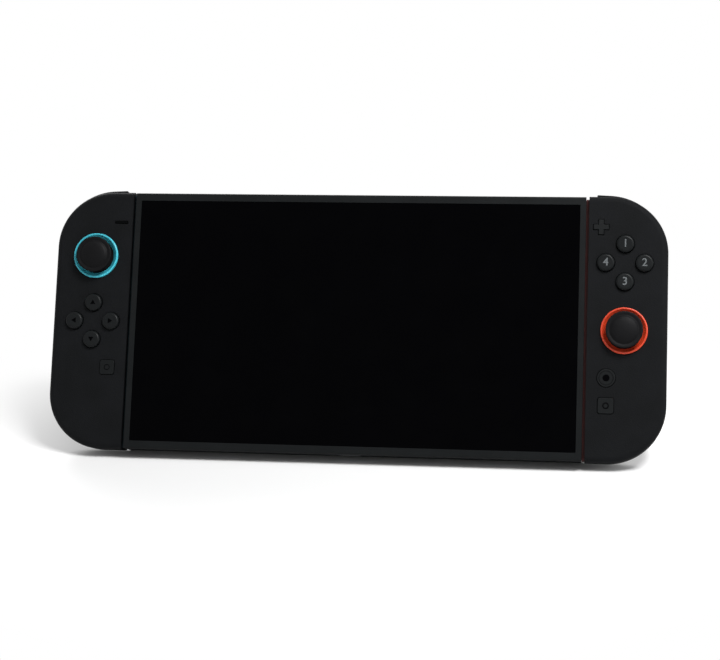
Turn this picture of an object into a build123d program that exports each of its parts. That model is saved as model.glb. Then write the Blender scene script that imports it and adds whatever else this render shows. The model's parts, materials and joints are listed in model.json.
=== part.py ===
"""Handheld game console: a tablet with a detachable controller on each short side, on its kickstand.

All sizes are millimetres. The console is drawn upright, with X to the player's right, Y from the
glass towards the back and Z up from the controllers' lower edge. At the end it is leaned back on
its open kickstand, and its footprint's centre at table height becomes the origin.
"""
import os
from math import asin, atan2, cos, degrees, hypot, radians, sin, sqrt, tan

from build123d import *

# Tablet
tablet_length = 200.8
tablet_height = 115.0
console_depth = 13.9
tablet_wall = 1.6
tablet_edge_radius = 0.8
rear_edge_radius = 1.5

# Controllers
controller_width = 34.3
controller_height = 116.0
corner_radius = 25.0
shell_wall = 1.6
shell_front_depth = 8.4
shell_front_radius = 2.6
shell_rear_radius = 4.5
seam_gap = 0.1
rail_thickness = 1.2
rail_inset = 0.9
rail_front_inset = 3.2

# Clearances
slide_clearance = 0.25
seat_clearance = 0.1
pin_clearance = 0.05
fixed_pin_clearance = 0.02
overrun = 1.0

# Glass, display and the plate behind them
glass_side_border = 2.6
glass_end_border = 3.6
glass_thickness = 1.0
glass_corner_radius = 1.2
display_border = 4.0
display_thickness = 1.7
plate_thickness = 0.8

# Rear cover and kickstand
rear_cover_thickness = 3.4
rear_cover_skin = 1.6
cover_rib = 2.0
stand_side_margin = 8.4
stand_arm_width = 7.0
stand_thickness = 2.0
stand_length = 50.0
stand_corner_radius = 5.0
stand_hinge_rise = 54.0
stand_pin_radius = 0.55
stand_pin_seat = 1.6
stand_open_angle = 40.0
stand_full_angle = 150.0
fingernail_width = 16.0
fingernail_depth = 1.0

# Controls on the tablet's edges
power_length = 7.0
volume_length = 19.0
edge_button_width = 2.4
edge_button_proud = 0.5
edge_button_travel = 0.4
edge_button_flange = 0.8
edge_button_flange_height = 1.0
edge_line_depth = 6.4
rocker_pin_radius = 0.4
rocker_pin_length = 4.2
port_width = 9.2
port_depth = 3.5
port_length = 8.0
port_wall = 0.35
port_tongue_width = 6.6
port_tongue_depth = 0.7
port_tongue_length = 5.0
jack_bore_radius = 1.8
jack_bore_length = 14.0
jack_body_width = 6.4
jack_body_depth = 5.6
jack_nose_radius = 2.6
jack_wall = 1.2
card_slot_width = 23.0
card_slot_depth = 3.6
card_slot_length = 30.0
card_slot_wall = 0.5
card_cover_thickness = 1.0
card_cover_margin = 1.6
card_hinge_radius = 0.5

# Speakers
speaker_length = 24.0
speaker_height = 10.5
speaker_slot_length = 16.0
speaker_slot_width = 1.3
speaker_slot_depth_place = 8.6

# Fan, heat sink, board and battery
fan_width = 38.0
fan_wall = 1.2
fan_rotor_radius = 16.0
fan_hub_radius = 6.0
fan_blade_count = 9
fan_blade_thickness = 0.9
fan_shaft_radius = 1.0
vent_count = 9
vent_pitch = 3.6
vent_width = 2.2
vent_depth = 4.0
intake_count = 6
intake_length = 20.0
intake_width = 1.4
intake_pitch = 3.4
sink_length = 40.0
sink_height = 28.0
sink_fin_count = 10
sink_fin_thickness = 1.0
sink_base = 1.2
board_thickness = 0.8
board_front_depth = 8.3
chip_width = 18.0
chip_thickness = 1.2
battery_thickness = 5.0
bay_gap = 2.0
fan_board_gap = 3.0
battery_board_gap = 1.0
bay_side_margin = 9.6
post_radius = 2.2
post_side_margin = 4.8
post_lower_rise = 21.5
post_upper_drop = 19.5
screw_radius = 0.8
screw_head_radius = 1.6
screw_head_height = 1.0
screw_length = 7.0

# Contact tongue that enters the tablet's side
tongue_height = 22.0
tongue_thickness = 4.0
tongue_length = 5.5
socket_wall = 1.0

# Analogue stick
stick_place = 15.8
ring_outer_radius = 10.1
ring_inner_radius = 7.7
ring_spigot_radius = 8.9
ring_proud = 1.2
ring_edge_round = 0.4
ring_mouth_radius = 9.4
ring_slope_depth = 0.9
stick_pivot_depth = 6.0
stick_cap_radius = 8.0
stick_cap_proud = 5.8
stick_cap_rim = 1.2
stick_cap_round = 0.5
stick_cap_cone = 0.6
stick_dish_radius = 5.7
stick_dish_depth = 0.7
stick_neck_radius = 3.6
stick_shaft_radius = 2.1
stick_hub_radius = 2.6
stick_pin_radius = 0.8
yoke_half_width = 5.0
yoke_half_opening = 3.6
yoke_thickness = 2.6
carrier_half_width = 8.4
carrier_wall = 1.4
carrier_front_depth = 2.2
carrier_rear_depth = 11.3
carrier_mouth_radius = 5.4
click_travel = 0.4
stick_tilt = 12.0

# Round buttons
cluster_radius = 8.3
button_radius = 3.9
button_proud = 1.7
button_edge_round = 1.1
button_travel = 0.8
flange_width = 0.8
flange_thickness = 0.7
stem_radius = 1.4

# Small controls on the controllers, placed from the inner face and the lower edge
minus_place = 5.0
minus_length = 5.6
minus_width = 0.9
plus_place = 5.3
plus_span = 6.6
plus_arm = 2.2
small_button_proud = 0.4
small_button_travel = 0.3
small_flange_width = 0.6
capture_place = 8.1
capture_width = 6.4
small_corner_radius = 1.0
home_place = 8.5
home_radius = 3.9
extra_width = 6.8

# Shoulder button and trigger
shoulder_from = 3.4
shoulder_to = 22.0
shoulder_front = 2.4
shoulder_back = 7.4
shoulder_proud = 0.8
shoulder_travel = 0.8
shoulder_flange = 0.6
shoulder_flange_thickness = 0.9
trigger_from = 2.6
trigger_to = 24.6
trigger_bay_depth = 9.6
trigger_bay_height = 18.5
trigger_reach = 11.5
trigger_nose_radius = 3.0
trigger_end_round = 4.0
trigger_heel = 1.6
trigger_pivot_drop = 10.5
trigger_pivot_back = 2.4
trigger_pin_radius = 1.0
trigger_pin_length = 1.6
trigger_travel = 6.0
trigger_swing_gap = 1.2

# Rail buttons and release button
rail_button_length = 8.0
rail_button_width = 3.0
rail_button_depth = 5.6
rail_button_travel = 0.5
release_place = 4.4
release_width = 4.0
release_length = 11.0
release_proud = 0.7
release_travel = 0.5

# Board and battery of a controller
controller_board_depth = 6.4
controller_board_thickness = 0.8
controller_board_inset = 4.0
controller_post_radius = 1.8
controller_battery_width = 20.0
controller_battery_thickness = 4.2
controller_battery_place = 16.0
controller_battery_gap = 4.6

# Places as shares of the tablet's half length, from its middle
top_port_share = 0.12
bottom_port_share = 0
power_share = -0.837
volume_share = -0.637
jack_share = 0.797
card_share = 0.478
speaker_share = 0.797
fan_share = -0.3

# Posts of the main board, as shares of its length and height
board_post_shares = [(0.53, 0.15), (0.94, 0.15), (0.53, 0.63), (0.94, 0.63)]

# Heights on a controller, as shares of its height
upper_cluster_share = 0.746
lower_cluster_share = 0.491
minus_share = 0.879
plus_share = 0.881
capture_share = 0.313
home_share = 0.314
extra_share = 0.211
rail_button_shares = [0.207, 0.793]
release_share = 0.69
controller_board_shares = (0.07, 0.914)
controller_battery_share = 0.121

# Posts of a controller's board, as shares of its width and height
controller_post_shares = [(0.22, 0.138), (0.76, 0.259), (0.22, 0.586), (0.73, 0.629)]

# Places worked out from the sizes
ALONG_X = (0, 90, 0)
ALONG_Y = (90, 0, 0)
ALONG_Z = (0, 0, 0)
RIGHT = 1
LEFT = -1
tablet_half = tablet_length / 2
tablet_lower = (controller_height - tablet_height) / 2
tablet_upper = tablet_lower + tablet_height
shell_inner = tablet_half + seam_gap + rail_thickness
cover_front = console_depth - rear_cover_thickness
plate_front = glass_thickness + display_thickness
plate_back = plate_front + plate_thickness
inside_half = tablet_half - tablet_wall
inside_lower = tablet_lower + tablet_wall
inside_upper = tablet_upper - tablet_wall
shell_back_inside = console_depth - shell_wall
stand_groove_depth = stand_thickness + slide_clearance
stand_axis_depth = console_depth - stand_thickness / 2
tongue_depth = console_depth / 2
tongue_rise = controller_height / 2
stand_half_width = tablet_half - stand_side_margin
stand_hinge_height = tablet_lower + stand_hinge_rise
post_side_place = tablet_half - post_side_margin
post_lower = tablet_lower + post_lower_rise
post_upper = tablet_upper - post_upper_drop
top_port_place = top_port_share * tablet_half
bottom_port_place = bottom_port_share * tablet_half
power_place = power_share * tablet_half
volume_place = volume_share * tablet_half
jack_place = jack_share * tablet_half
card_place = card_share * tablet_half
speaker_place = speaker_share * tablet_half
fan_place = fan_share * tablet_half
fan_height = inside_upper - seat_clearance - fan_width / 2
board_left = fan_place + fan_width / 2 + fan_board_gap
board_right = tablet_half - bay_side_margin
board_lower = inside_lower + speaker_height + bay_gap
board_upper = tablet_upper - port_length - bay_gap
battery_left = bay_side_margin - tablet_half
battery_length = board_left - battery_board_gap - battery_left
battery_lower = board_lower
battery_height = fan_height - fan_width / 2 - bay_gap - battery_lower
upper_cluster_height = upper_cluster_share * controller_height
lower_cluster_height = lower_cluster_share * controller_height
minus_height = minus_share * controller_height
plus_height = plus_share * controller_height
capture_height = capture_share * controller_height
home_height = home_share * controller_height
extra_height = extra_share * controller_height
rail_button_heights = [share * controller_height for share in rail_button_shares]
release_height = release_share * controller_height
controller_board_lower = controller_board_shares[0] * controller_height
controller_board_upper = controller_board_shares[1] * controller_height
controller_battery_lower = controller_battery_share * controller_height
controller_battery_upper = lower_cluster_height - carrier_half_width - controller_battery_gap
controller_battery_height = controller_battery_upper - controller_battery_lower
edge_round_share = 0.6
foot_round_share = 0.49
release_round_share = 0.49
trigger_top_share = 0.3
trigger_nose_share = 0.34
trigger_tip_share = 0.84
trigger_tip_drop_share = 0.66


def front_plane(depth):
    """Plane parallel to the glass, at a depth behind it, facing the player."""
    return Plane.XZ.offset(-depth)


def fill_box(low, high, mode=Mode.ADD):
    """Box between two opposite corners, in the piece that is being made."""
    middle = [(a + b) / 2 for a, b in zip(low, high)]
    spans = [abs(b - a) for a, b in zip(low, high)]
    with Locations(tuple(middle)):
        Box(*spans, mode=mode)


def fill_rod(centre, radius, length, direction, mode=Mode.ADD):
    """Round rod about a centre, lying along X or Y, or standing along Z."""
    with Locations(centre):
        Cylinder(radius, length, rotation=direction, mode=mode)


def across(side, place):
    """X of a place that is measured outwards from a controller's inner face."""
    return side * (shell_inner + place)


def draw_outline(side, inset):
    """Controller seen from the front: straight inner side and two large outer corners."""
    middle = (across(side, controller_width / 2), controller_height / 2)
    with Locations(middle):
        face = Rectangle(controller_width - 2 * inset, controller_height - 2 * inset)
    corners = face.vertices().sort_by(Axis.X)
    outer = corners[-2:] if side == RIGHT else corners[:2]
    fillet(outer, corner_radius - inset)


def named(piece, label):
    """Part of a finished builder, under its node's name."""
    piece.part.label = label
    return piece.part


def make_tablet_frame():
    """Moulded side walls of the tablet, with its mouths, pockets and glue ledge."""
    with BuildPart() as frame:
        fill_box((-tablet_half, 0, tablet_lower), (tablet_half, cover_front, tablet_upper))
        long_edges = frame.edges().filter_by(Axis.X).group_by(Axis.Y)[0]
        fillet(long_edges, tablet_edge_radius)
        glass_half = tablet_half - glass_side_border
        glass_lower = tablet_lower + glass_end_border
        glass_upper = tablet_upper - glass_end_border
        fill_box(
            (-glass_half - seat_clearance, -overrun, glass_lower - seat_clearance),
            (glass_half + seat_clearance, glass_thickness, glass_upper + seat_clearance),
            mode=Mode.SUBTRACT,
        )
        ledge_half = glass_half - display_border + seat_clearance
        fill_box(
            (-ledge_half, 0, glass_lower + display_border - seat_clearance),
            (ledge_half, plate_front, glass_upper - display_border + seat_clearance),
            mode=Mode.SUBTRACT,
        )
        fill_box(
            (-inside_half, plate_front, inside_lower),
            (inside_half, cover_front + overrun, inside_upper),
            mode=Mode.SUBTRACT,
        )
        for side in (LEFT, RIGHT):
            reach = tongue_length + seat_clearance + socket_wall
            depth = tongue_thickness / 2 + slide_clearance
            rise = tongue_height / 2 + slide_clearance
            around = socket_wall
            fill_box(
                (side * (tablet_half - reach), tongue_depth - depth - around, tongue_rise - rise - around),
                (side * inside_half, tongue_depth + depth + around, tongue_rise + rise + around),
            )
            fill_box(
                (side * (tablet_half - reach + socket_wall), tongue_depth - depth, tongue_rise - rise),
                (side * (tablet_half + overrun), tongue_depth + depth, tongue_rise + rise),
                mode=Mode.SUBTRACT,
            )
        cut_port_mouth(top_port_place, tablet_upper)
        cut_port_mouth(bottom_port_place, tablet_lower)
        with Locations((jack_place, edge_line_depth, tablet_upper - tablet_wall / 2)):
            Cylinder(jack_nose_radius + seat_clearance, tablet_wall + overrun, mode=Mode.SUBTRACT)
        cut_card_mouth()
        for place, length in ((power_place, power_length), (volume_place, volume_length)):
            cut_edge_slot(place, length)
        pin_seat = rocker_pin_length + 2 * slide_clearance
        fill_rod(rocker_axis(), rocker_pin_radius + pin_clearance, pin_seat, ALONG_Y, mode=Mode.SUBTRACT)
        for side in (LEFT, RIGHT):
            with Locations((side * speaker_place, speaker_slot_depth_place, tablet_lower + tablet_wall / 2)):
                Box(speaker_slot_length, speaker_slot_width, tablet_wall + overrun, mode=Mode.SUBTRACT)
        vent_middle = (fan_place, edge_line_depth, tablet_upper - tablet_wall / 2)
        with Locations(vent_middle):
            with GridLocations(vent_pitch, 0, vent_count, 1):
                Box(vent_width, vent_depth, tablet_wall + overrun, mode=Mode.SUBTRACT)
    return named(frame, "tablet_frame")


def cut_port_mouth(place, edge):
    """Rounded mouth of a charging port in the frame's upper or lower wall."""
    with BuildSketch(Plane.XY.offset(edge - tablet_wall - overrun)) as mouth:
        with Locations((place, edge_line_depth)):
            RectangleRounded(
                port_width + 2 * seat_clearance,
                port_depth + 2 * seat_clearance,
                port_depth / 2 - port_wall + seat_clearance,
            )
    extrude(mouth.sketch, amount=2 * (tablet_wall + overrun), mode=Mode.SUBTRACT)


def cut_card_mouth():
    """Mouth for the game card, with a seat round it for its cover."""
    cover_half = card_slot_width / 2 + card_cover_margin + slide_clearance
    cover_depth = card_slot_depth / 2 + slide_clearance
    seat = tablet_upper - card_cover_thickness - seat_clearance
    fill_box(
        (card_place - cover_half, edge_line_depth - cover_depth, seat),
        (card_place + cover_half, edge_line_depth + cover_depth, tablet_upper + overrun),
        mode=Mode.SUBTRACT,
    )
    mouth_half = card_slot_width / 2
    mouth_depth = card_slot_depth / 2 - card_slot_wall
    fill_box(
        (card_place - mouth_half, edge_line_depth - mouth_depth, inside_upper - overrun),
        (card_place + mouth_half, edge_line_depth + mouth_depth, tablet_upper),
        mode=Mode.SUBTRACT,
    )
    pin_middle = (card_place, edge_line_depth + card_slot_depth / 2 - card_hinge_radius, card_pin_rise())
    pin_length = 2 * (cover_half + tablet_wall)
    fill_rod(pin_middle, card_hinge_radius + pin_clearance, pin_length, ALONG_X, mode=Mode.SUBTRACT)


def card_pin_rise():
    """Height of the card cover's hinge line."""
    return tablet_upper - card_cover_thickness / 2


def cut_edge_slot(place, length):
    """Slot for a button in the frame's upper wall."""
    half = length / 2 + slide_clearance
    depth = edge_button_width / 2 + slide_clearance
    fill_box(
        (place - half, edge_line_depth - depth, inside_upper - overrun),
        (place + half, edge_line_depth + depth, tablet_upper + overrun),
        mode=Mode.SUBTRACT,
    )


def rocker_axis():
    """Middle of the volume rocker's pivot line, in the frame's upper wall."""
    return (volume_place, edge_line_depth, (inside_upper + tablet_upper) / 2)


def make_edge_button(label, place, length, pin_length=0):
    """Button on the tablet's top edge, with a flange that keeps it in, and a pin if it rocks."""
    with BuildPart() as button:
        flange_top = inside_upper - slide_clearance
        fill_box(
            (place - length / 2, edge_line_depth - edge_button_width / 2, flange_top),
            (place + length / 2, edge_line_depth + edge_button_width / 2, tablet_upper + edge_button_proud),
        )
        rim = button.faces().sort_by(Axis.Z)[-1].edges()
        fillet(rim, edge_button_proud * edge_round_share)
        fill_box(
            (
                place - length / 2 - edge_button_flange,
                edge_line_depth - edge_button_width / 2 - edge_button_flange,
                flange_top - edge_button_flange_height,
            ),
            (
                place + length / 2 + edge_button_flange,
                edge_line_depth + edge_button_width / 2 + edge_button_flange,
                flange_top,
            ),
        )
        if pin_length:
            fill_rod(rocker_axis(), rocker_pin_radius, pin_length, ALONG_Y)
    return named(button, label)


def make_cover_glass():
    """Toughened cover glass that lies flush in the frame."""
    with BuildPart() as glass:
        with BuildSketch(front_plane(glass_thickness)):
            with Locations((0, controller_height / 2)):
                RectangleRounded(
                    tablet_length - 2 * glass_side_border,
                    tablet_height - 2 * glass_end_border,
                    glass_corner_radius,
                )
        extrude(amount=glass_thickness)
        chamfer(glass.faces().sort_by(Axis.Y)[0].edges(), seat_clearance)
    return named(glass, "cover_glass")


def make_display_panel():
    """Display bonded to the back of the glass."""
    half = tablet_half - glass_side_border - display_border
    border = glass_end_border + display_border
    with BuildPart() as panel:
        fill_box((-half, glass_thickness, tablet_lower + border), (half, plate_front, tablet_upper - border))
    return named(panel, "display_panel")


def make_mid_plate():
    """Metal plate behind the display, with posts for the board and the screws."""
    with BuildPart() as plate:
        fill_box(
            (-inside_half + seat_clearance, plate_front, inside_lower + seat_clearance),
            (inside_half - seat_clearance, plate_back, inside_upper - seat_clearance),
        )
        board_post = board_front_depth - plate_back
        for along, up in board_post_shares:
            x = board_left + along * (board_right - board_left)
            z = board_lower + up * (board_upper - board_lower)
            fill_rod((x, plate_back + board_post / 2, z), post_radius, board_post, ALONG_Y)
        side_post = cover_front - plate_back
        for side in (LEFT, RIGHT):
            for z in (post_lower, post_upper):
                middle = (side * post_side_place, plate_back + side_post / 2, z)
                fill_rod(middle, post_radius, side_post, ALONG_Y)
                bore = (side * post_side_place, cover_front, z)
                fill_rod(bore, screw_radius + pin_clearance, 2 * screw_length, ALONG_Y, mode=Mode.SUBTRACT)
    return named(plate, "mid_plate")


def make_main_board():
    """Main circuit board with its shielded chips."""
    with BuildPart() as board:
        fill_box(
            (board_left, board_front_depth, board_lower),
            (board_right, board_front_depth + board_thickness, board_upper),
        )
        chip_front = board_front_depth - chip_thickness
        chips = [(sink_middle_x(), sink_middle_z()), (sink_middle_x(), board_lower + chip_width)]
        for x, z in chips:
            fill_box(
                (x - chip_width / 2, chip_front, z - chip_width / 2),
                (x + chip_width / 2, board_front_depth, z + chip_width / 2),
            )
        notch = jack_body_width / 2 + seat_clearance
        fill_box(
            (jack_place - notch, board_front_depth - overrun, jack_lower() - seat_clearance),
            (jack_place + notch, board_front_depth + board_thickness + overrun, board_upper + overrun),
            mode=Mode.SUBTRACT,
        )
    return named(board, "main_board")


def jack_lower():
    """Height of the headphone jack's inner end."""
    return tablet_upper - jack_bore_length - jack_wall


def sink_middle_x():
    """X of the heat sink's middle, beside the fan."""
    return board_left + seat_clearance + sink_length / 2


def sink_middle_z():
    """Height of the heat sink's middle, at the board's upper end."""
    return board_upper - sink_height / 2


def make_heat_sink():
    """Finned metal block that lies on the main chip and is blown through by the fan."""
    back = board_front_depth - chip_thickness
    left = sink_middle_x() - sink_length / 2
    lower = sink_middle_z() - sink_height / 2
    with BuildPart() as sink:
        fill_box((left, back - sink_base, lower), (left + sink_length, back, lower + sink_height))
        fin_front = plate_back + seat_clearance
        fin_height = back - sink_base - fin_front
        pitch = (sink_height - sink_fin_thickness) / (sink_fin_count - 1)
        for number in range(sink_fin_count):
            rise = lower + sink_fin_thickness / 2 + number * pitch
            with Locations((sink_middle_x(), fin_front + fin_height / 2, rise)):
                Box(sink_length, fin_height, sink_fin_thickness)
    return named(sink, "heat_sink")


def make_fan_housing():
    """Square blower housing with a round chamber, an intake at the back and an outlet at the top."""
    front = plate_back
    back = cover_front - seat_clearance
    lower = fan_height - fan_width / 2
    chamber_front = front + fan_wall
    chamber_depth = back - fan_wall - chamber_front
    with BuildPart() as housing:
        half = fan_width / 2
        fill_box((fan_place - half, front, lower), (fan_place + half, back, lower + fan_width))
        chamber = (fan_place, chamber_front + chamber_depth / 2, fan_height)
        fill_rod(chamber, fan_rotor_radius + overrun, chamber_depth, ALONG_Y, mode=Mode.SUBTRACT)
        outlet_half = half - 2 * fan_wall
        fill_box(
            (fan_place - outlet_half, chamber_front, fan_height),
            (fan_place + outlet_half, chamber_front + chamber_depth, lower + fan_width + overrun),
            mode=Mode.SUBTRACT,
        )
        intake = (fan_place, back, fan_height)
        fill_rod(intake, fan_rotor_radius - fan_wall, 2 * (fan_wall + overrun), ALONG_Y, mode=Mode.SUBTRACT)
        shaft = (fan_place, chamber_front + chamber_depth / 2, fan_height)
        fill_rod(shaft, fan_shaft_radius, chamber_depth, ALONG_Y)
    return named(housing, "fan_housing")


def make_fan_rotor():
    """Hub and blades that turn on the housing's shaft."""
    front = plate_back + fan_wall + slide_clearance
    depth = cover_front - seat_clearance - fan_wall - slide_clearance - front
    middle = (fan_place, front + depth / 2, fan_height)
    with BuildPart() as rotor:
        fill_rod(middle, fan_hub_radius, depth, ALONG_Y)
        with BuildSketch(front_plane(front + depth)):
            with Locations((fan_place, fan_height)):
                with PolarLocations(0, fan_blade_count):
                    with Locations(((fan_hub_radius + fan_rotor_radius) / 2 - fan_blade_thickness, 0)):
                        Rectangle(fan_rotor_radius - fan_hub_radius, fan_blade_thickness)
        extrude(amount=depth)
        fill_rod(middle, fan_shaft_radius + pin_clearance, 2 * depth, ALONG_Y, mode=Mode.SUBTRACT)
    return named(rotor, "fan_rotor")


def make_tablet_battery():
    """Flat lithium pack in the left half of the tablet."""
    front = plate_back
    with BuildPart() as pack:
        fill_box(
            (battery_left, front, battery_lower),
            (battery_left + battery_length, front + battery_thickness, battery_lower + battery_height),
        )
        fillet(pack.edges().filter_by(Axis.Y), tablet_edge_radius)
    return named(pack, "tablet_battery")


def make_speakers():
    """Two speaker modules behind the slots in the lower edge."""
    with BuildPart() as speakers:
        for side in (LEFT, RIGHT):
            fill_box(
                (side * (speaker_place - speaker_length / 2), plate_back, inside_lower + seat_clearance),
                (
                    side * (speaker_place + speaker_length / 2),
                    cover_front - seat_clearance,
                    inside_lower + speaker_height,
                ),
            )
            cone = (side * speaker_place, speaker_slot_depth_place, inside_lower)
            with Locations(cone):
                Box(speaker_slot_length, speaker_slot_width, speaker_height, mode=Mode.SUBTRACT)
    return named(speakers, "speakers")


def make_usb_ports():
    """Charging receptacles in the top and bottom edges: metal sleeve with a tongue inside."""
    with BuildPart() as ports:
        for place, edge, inward in (
            (top_port_place, tablet_upper, -1),
            (bottom_port_place, tablet_lower, 1),
        ):
            with BuildSketch(Plane.XY.offset(edge)):
                with Locations((place, edge_line_depth)):
                    RectangleRounded(port_width, port_depth, port_depth / 2 - port_wall)
            extrude(amount=inward * port_length)
            with BuildSketch(Plane.XY.offset(edge)):
                with Locations((place, edge_line_depth)):
                    inner_depth = port_depth - 2 * port_wall
                    RectangleRounded(port_width - 2 * port_wall, inner_depth, inner_depth / 2 - port_wall)
            extrude(amount=inward * (port_length - port_wall), mode=Mode.SUBTRACT)
            back = edge + inward * port_length
            half, depth = port_tongue_width / 2, port_tongue_depth / 2
            fill_box(
                (place - half, edge_line_depth - depth, back),
                (place + half, edge_line_depth + depth, back - inward * port_tongue_length),
            )
    return named(ports, "usb_c_ports")


def make_headphone_jack():
    """Socket for a headphone plug, in a notch of the board, with its nose in the frame's top wall."""
    upper = inside_upper - seat_clearance
    half, depth = jack_body_width / 2, jack_body_depth / 2
    with BuildPart() as jack:
        fill_box(
            (jack_place - half, edge_line_depth - depth, jack_lower()),
            (jack_place + half, edge_line_depth + depth, upper),
        )
        nose_length = tablet_upper - upper + overrun
        nose = (jack_place, edge_line_depth, tablet_upper - nose_length / 2)
        fill_rod(nose, jack_nose_radius, nose_length, ALONG_Z)
        bore = (jack_place, edge_line_depth, tablet_upper - jack_bore_length / 2)
        fill_rod(bore, jack_bore_radius, jack_bore_length, ALONG_Z, mode=Mode.SUBTRACT)
    return named(jack, "headphone_jack")


def make_card_slot():
    """Tray that guides a game card down to its contacts."""
    upper = inside_upper - seat_clearance
    half = card_slot_width / 2 + card_slot_wall
    depth = card_slot_depth / 2
    with BuildPart() as slot:
        fill_box(
            (card_place - half, edge_line_depth - depth, upper - card_slot_length),
            (card_place + half, edge_line_depth + depth, upper),
        )
        inner, hollow = half - card_slot_wall, depth - card_slot_wall
        fill_box(
            (card_place - inner, edge_line_depth - hollow, upper - card_slot_length + card_slot_wall),
            (card_place + inner, edge_line_depth + hollow, upper + overrun),
            mode=Mode.SUBTRACT,
        )
    return named(slot, "card_slot")


def make_card_slot_cover():
    """Small door over the card slot, with its hinge pins along the back edge."""
    half = card_slot_width / 2 + card_cover_margin
    pin_y = edge_line_depth + card_slot_depth / 2 - card_hinge_radius
    with BuildPart() as cover:
        fill_box(
            (card_place - half, edge_line_depth - card_slot_depth / 2, tablet_upper - card_cover_thickness),
            (card_place + half, pin_y, tablet_upper),
        )
        fill_rod((card_place, pin_y, card_pin_rise()), card_cover_thickness / 2, 2 * half, ALONG_X)
        pin_length = 2 * (half + card_cover_margin)
        fill_rod((card_place, pin_y, card_pin_rise()), card_hinge_radius, pin_length, ALONG_X)
    return named(cover, "card_slot_cover")


def stand_outline(margin):
    """Corners of the kickstand seen from the back: outer half width, lower and upper heights."""
    lower = stand_hinge_height - stand_length - margin
    upper = stand_hinge_height + stand_thickness / 2 * tan(radians(stand_full_angle / 2)) + margin
    return stand_half_width + margin, lower, upper


def stand_pin_middle(side):
    """Middle of one of the kickstand's two hinge pins."""
    return (side * (stand_half_width - stand_arm_width / 2), stand_axis_depth, stand_hinge_height)


def make_rear_cover():
    """Back of the tablet, with the kickstand's groove and the fan's intake."""
    with BuildPart() as cover:
        fill_box((-tablet_half, cover_front, tablet_lower), (tablet_half, console_depth, tablet_upper))
        back_edges = cover.edges().filter_by(Axis.X).group_by(Axis.Y)[-1]
        fillet(back_edges, rear_edge_radius)
        half, lower, upper = stand_outline(slide_clearance)
        inner = stand_half_width - stand_arm_width - slide_clearance
        bar_top = lower + stand_arm_width + 2 * slide_clearance
        groove_front = console_depth - stand_groove_depth
        groove_back = console_depth + overrun
        fill_box((-half, groove_front, lower), (half, groove_back, bar_top), mode=Mode.SUBTRACT)
        for side in (LEFT, RIGHT):
            fill_box(
                (side * inner, groove_front, lower),
                (side * half, groove_back, upper),
                mode=Mode.SUBTRACT,
            )
            pin_length = stand_arm_width + 2 * (stand_pin_seat + slide_clearance)
            pin_hole = stand_pin_radius + fixed_pin_clearance
            fill_rod(stand_pin_middle(side), pin_hole, pin_length, ALONG_X, mode=Mode.SUBTRACT)
        fill_box(
            (-inner + cover_rib, cover_front - overrun, bar_top + cover_rib),
            (inner - cover_rib, console_depth - rear_cover_skin, inside_upper - cover_rib),
            mode=Mode.SUBTRACT,
        )
        fill_box(
            (-fingernail_width / 2, groove_front, bar_top - overrun),
            (fingernail_width / 2, groove_back, bar_top + fingernail_depth),
            mode=Mode.SUBTRACT,
        )
        with Locations((fan_place, console_depth, fan_height)):
            for number in range(intake_count):
                rise = (number - (intake_count - 1) / 2) * intake_pitch
                with Locations((0, 0, rise)):
                    Box(intake_length, 2 * rear_cover_skin + overrun, intake_width, mode=Mode.SUBTRACT)
        for side in (LEFT, RIGHT):
            for z in (post_lower, post_upper):
                middle = (side * post_side_place, console_depth, z)
                head = screw_head_radius + seat_clearance
                fill_rod(middle, head, 2 * screw_head_height, ALONG_Y, mode=Mode.SUBTRACT)
                shank = screw_radius + pin_clearance
                fill_rod(middle, shank, 2 * (rear_cover_thickness + overrun), ALONG_Y, mode=Mode.SUBTRACT)
    return named(cover, "rear_cover")


def make_kickstand():
    """U-shaped stand, folded flat in its groove; its arm ends are rounded about the hinge line."""
    half, lower, upper = stand_outline(0)
    front = console_depth - stand_thickness
    with BuildPart() as stand:
        fill_box((-half, front, lower), (half, console_depth, stand_hinge_height))
        fill_box(
            (-half + stand_arm_width, front, lower + stand_arm_width),
            (half - stand_arm_width, console_depth, upper),
            mode=Mode.SUBTRACT,
        )
        uprights = stand.edges().filter_by(Axis.Y).group_by(Axis.Z)[0]
        fillet(uprights, stand_corner_radius)
        foot = stand.edges().filter_by(Axis.X).group_by(Axis.Z)[0]
        fillet(foot, stand_thickness * foot_round_share)
        for side in (LEFT, RIGHT):
            middle = stand_pin_middle(side)
            fill_rod(middle, stand_thickness / 2, stand_arm_width, ALONG_X)
            pin_hole = stand_pin_radius + pin_clearance
            fill_rod(middle, pin_hole, stand_arm_width + overrun, ALONG_X, mode=Mode.SUBTRACT)
    return named(stand, "kickstand")


def make_tablet_fasteners():
    """Rear cover screws and the two hinge pins of the kickstand."""
    with BuildPart() as fasteners:
        for side in (LEFT, RIGHT):
            for z in (post_lower, post_upper):
                head = (side * post_side_place, console_depth - screw_head_height / 2, z)
                fill_rod(head, screw_head_radius, screw_head_height, ALONG_Y)
                shank = (side * post_side_place, console_depth - screw_head_height - screw_length / 2, z)
                fill_rod(shank, screw_radius, screw_length, ALONG_Y)
            pin_length = stand_arm_width + 2 * stand_pin_seat
            fill_rod(stand_pin_middle(side), stand_pin_radius, pin_length, ALONG_X)
    return named(fasteners, "tablet_fasteners")


def extrude_shape(draw, side, place, height, from_depth, to_depth, grow=0, mode=Mode.ADD):
    """Prism of a drawn shape between two depths, at a place on a controller's front."""
    with BuildSketch(front_plane(to_depth)) as sketch:
        with Locations((across(side, place), height)):
            draw(grow)
    extrude(sketch.sketch, amount=to_depth - from_depth, mode=mode)


def draw_round(grow):
    """Round action or direction button."""
    Circle(button_radius + grow)


def draw_minus(grow):
    """Short bar."""
    Rectangle(minus_length + 2 * grow, minus_width + 2 * grow)


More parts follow.
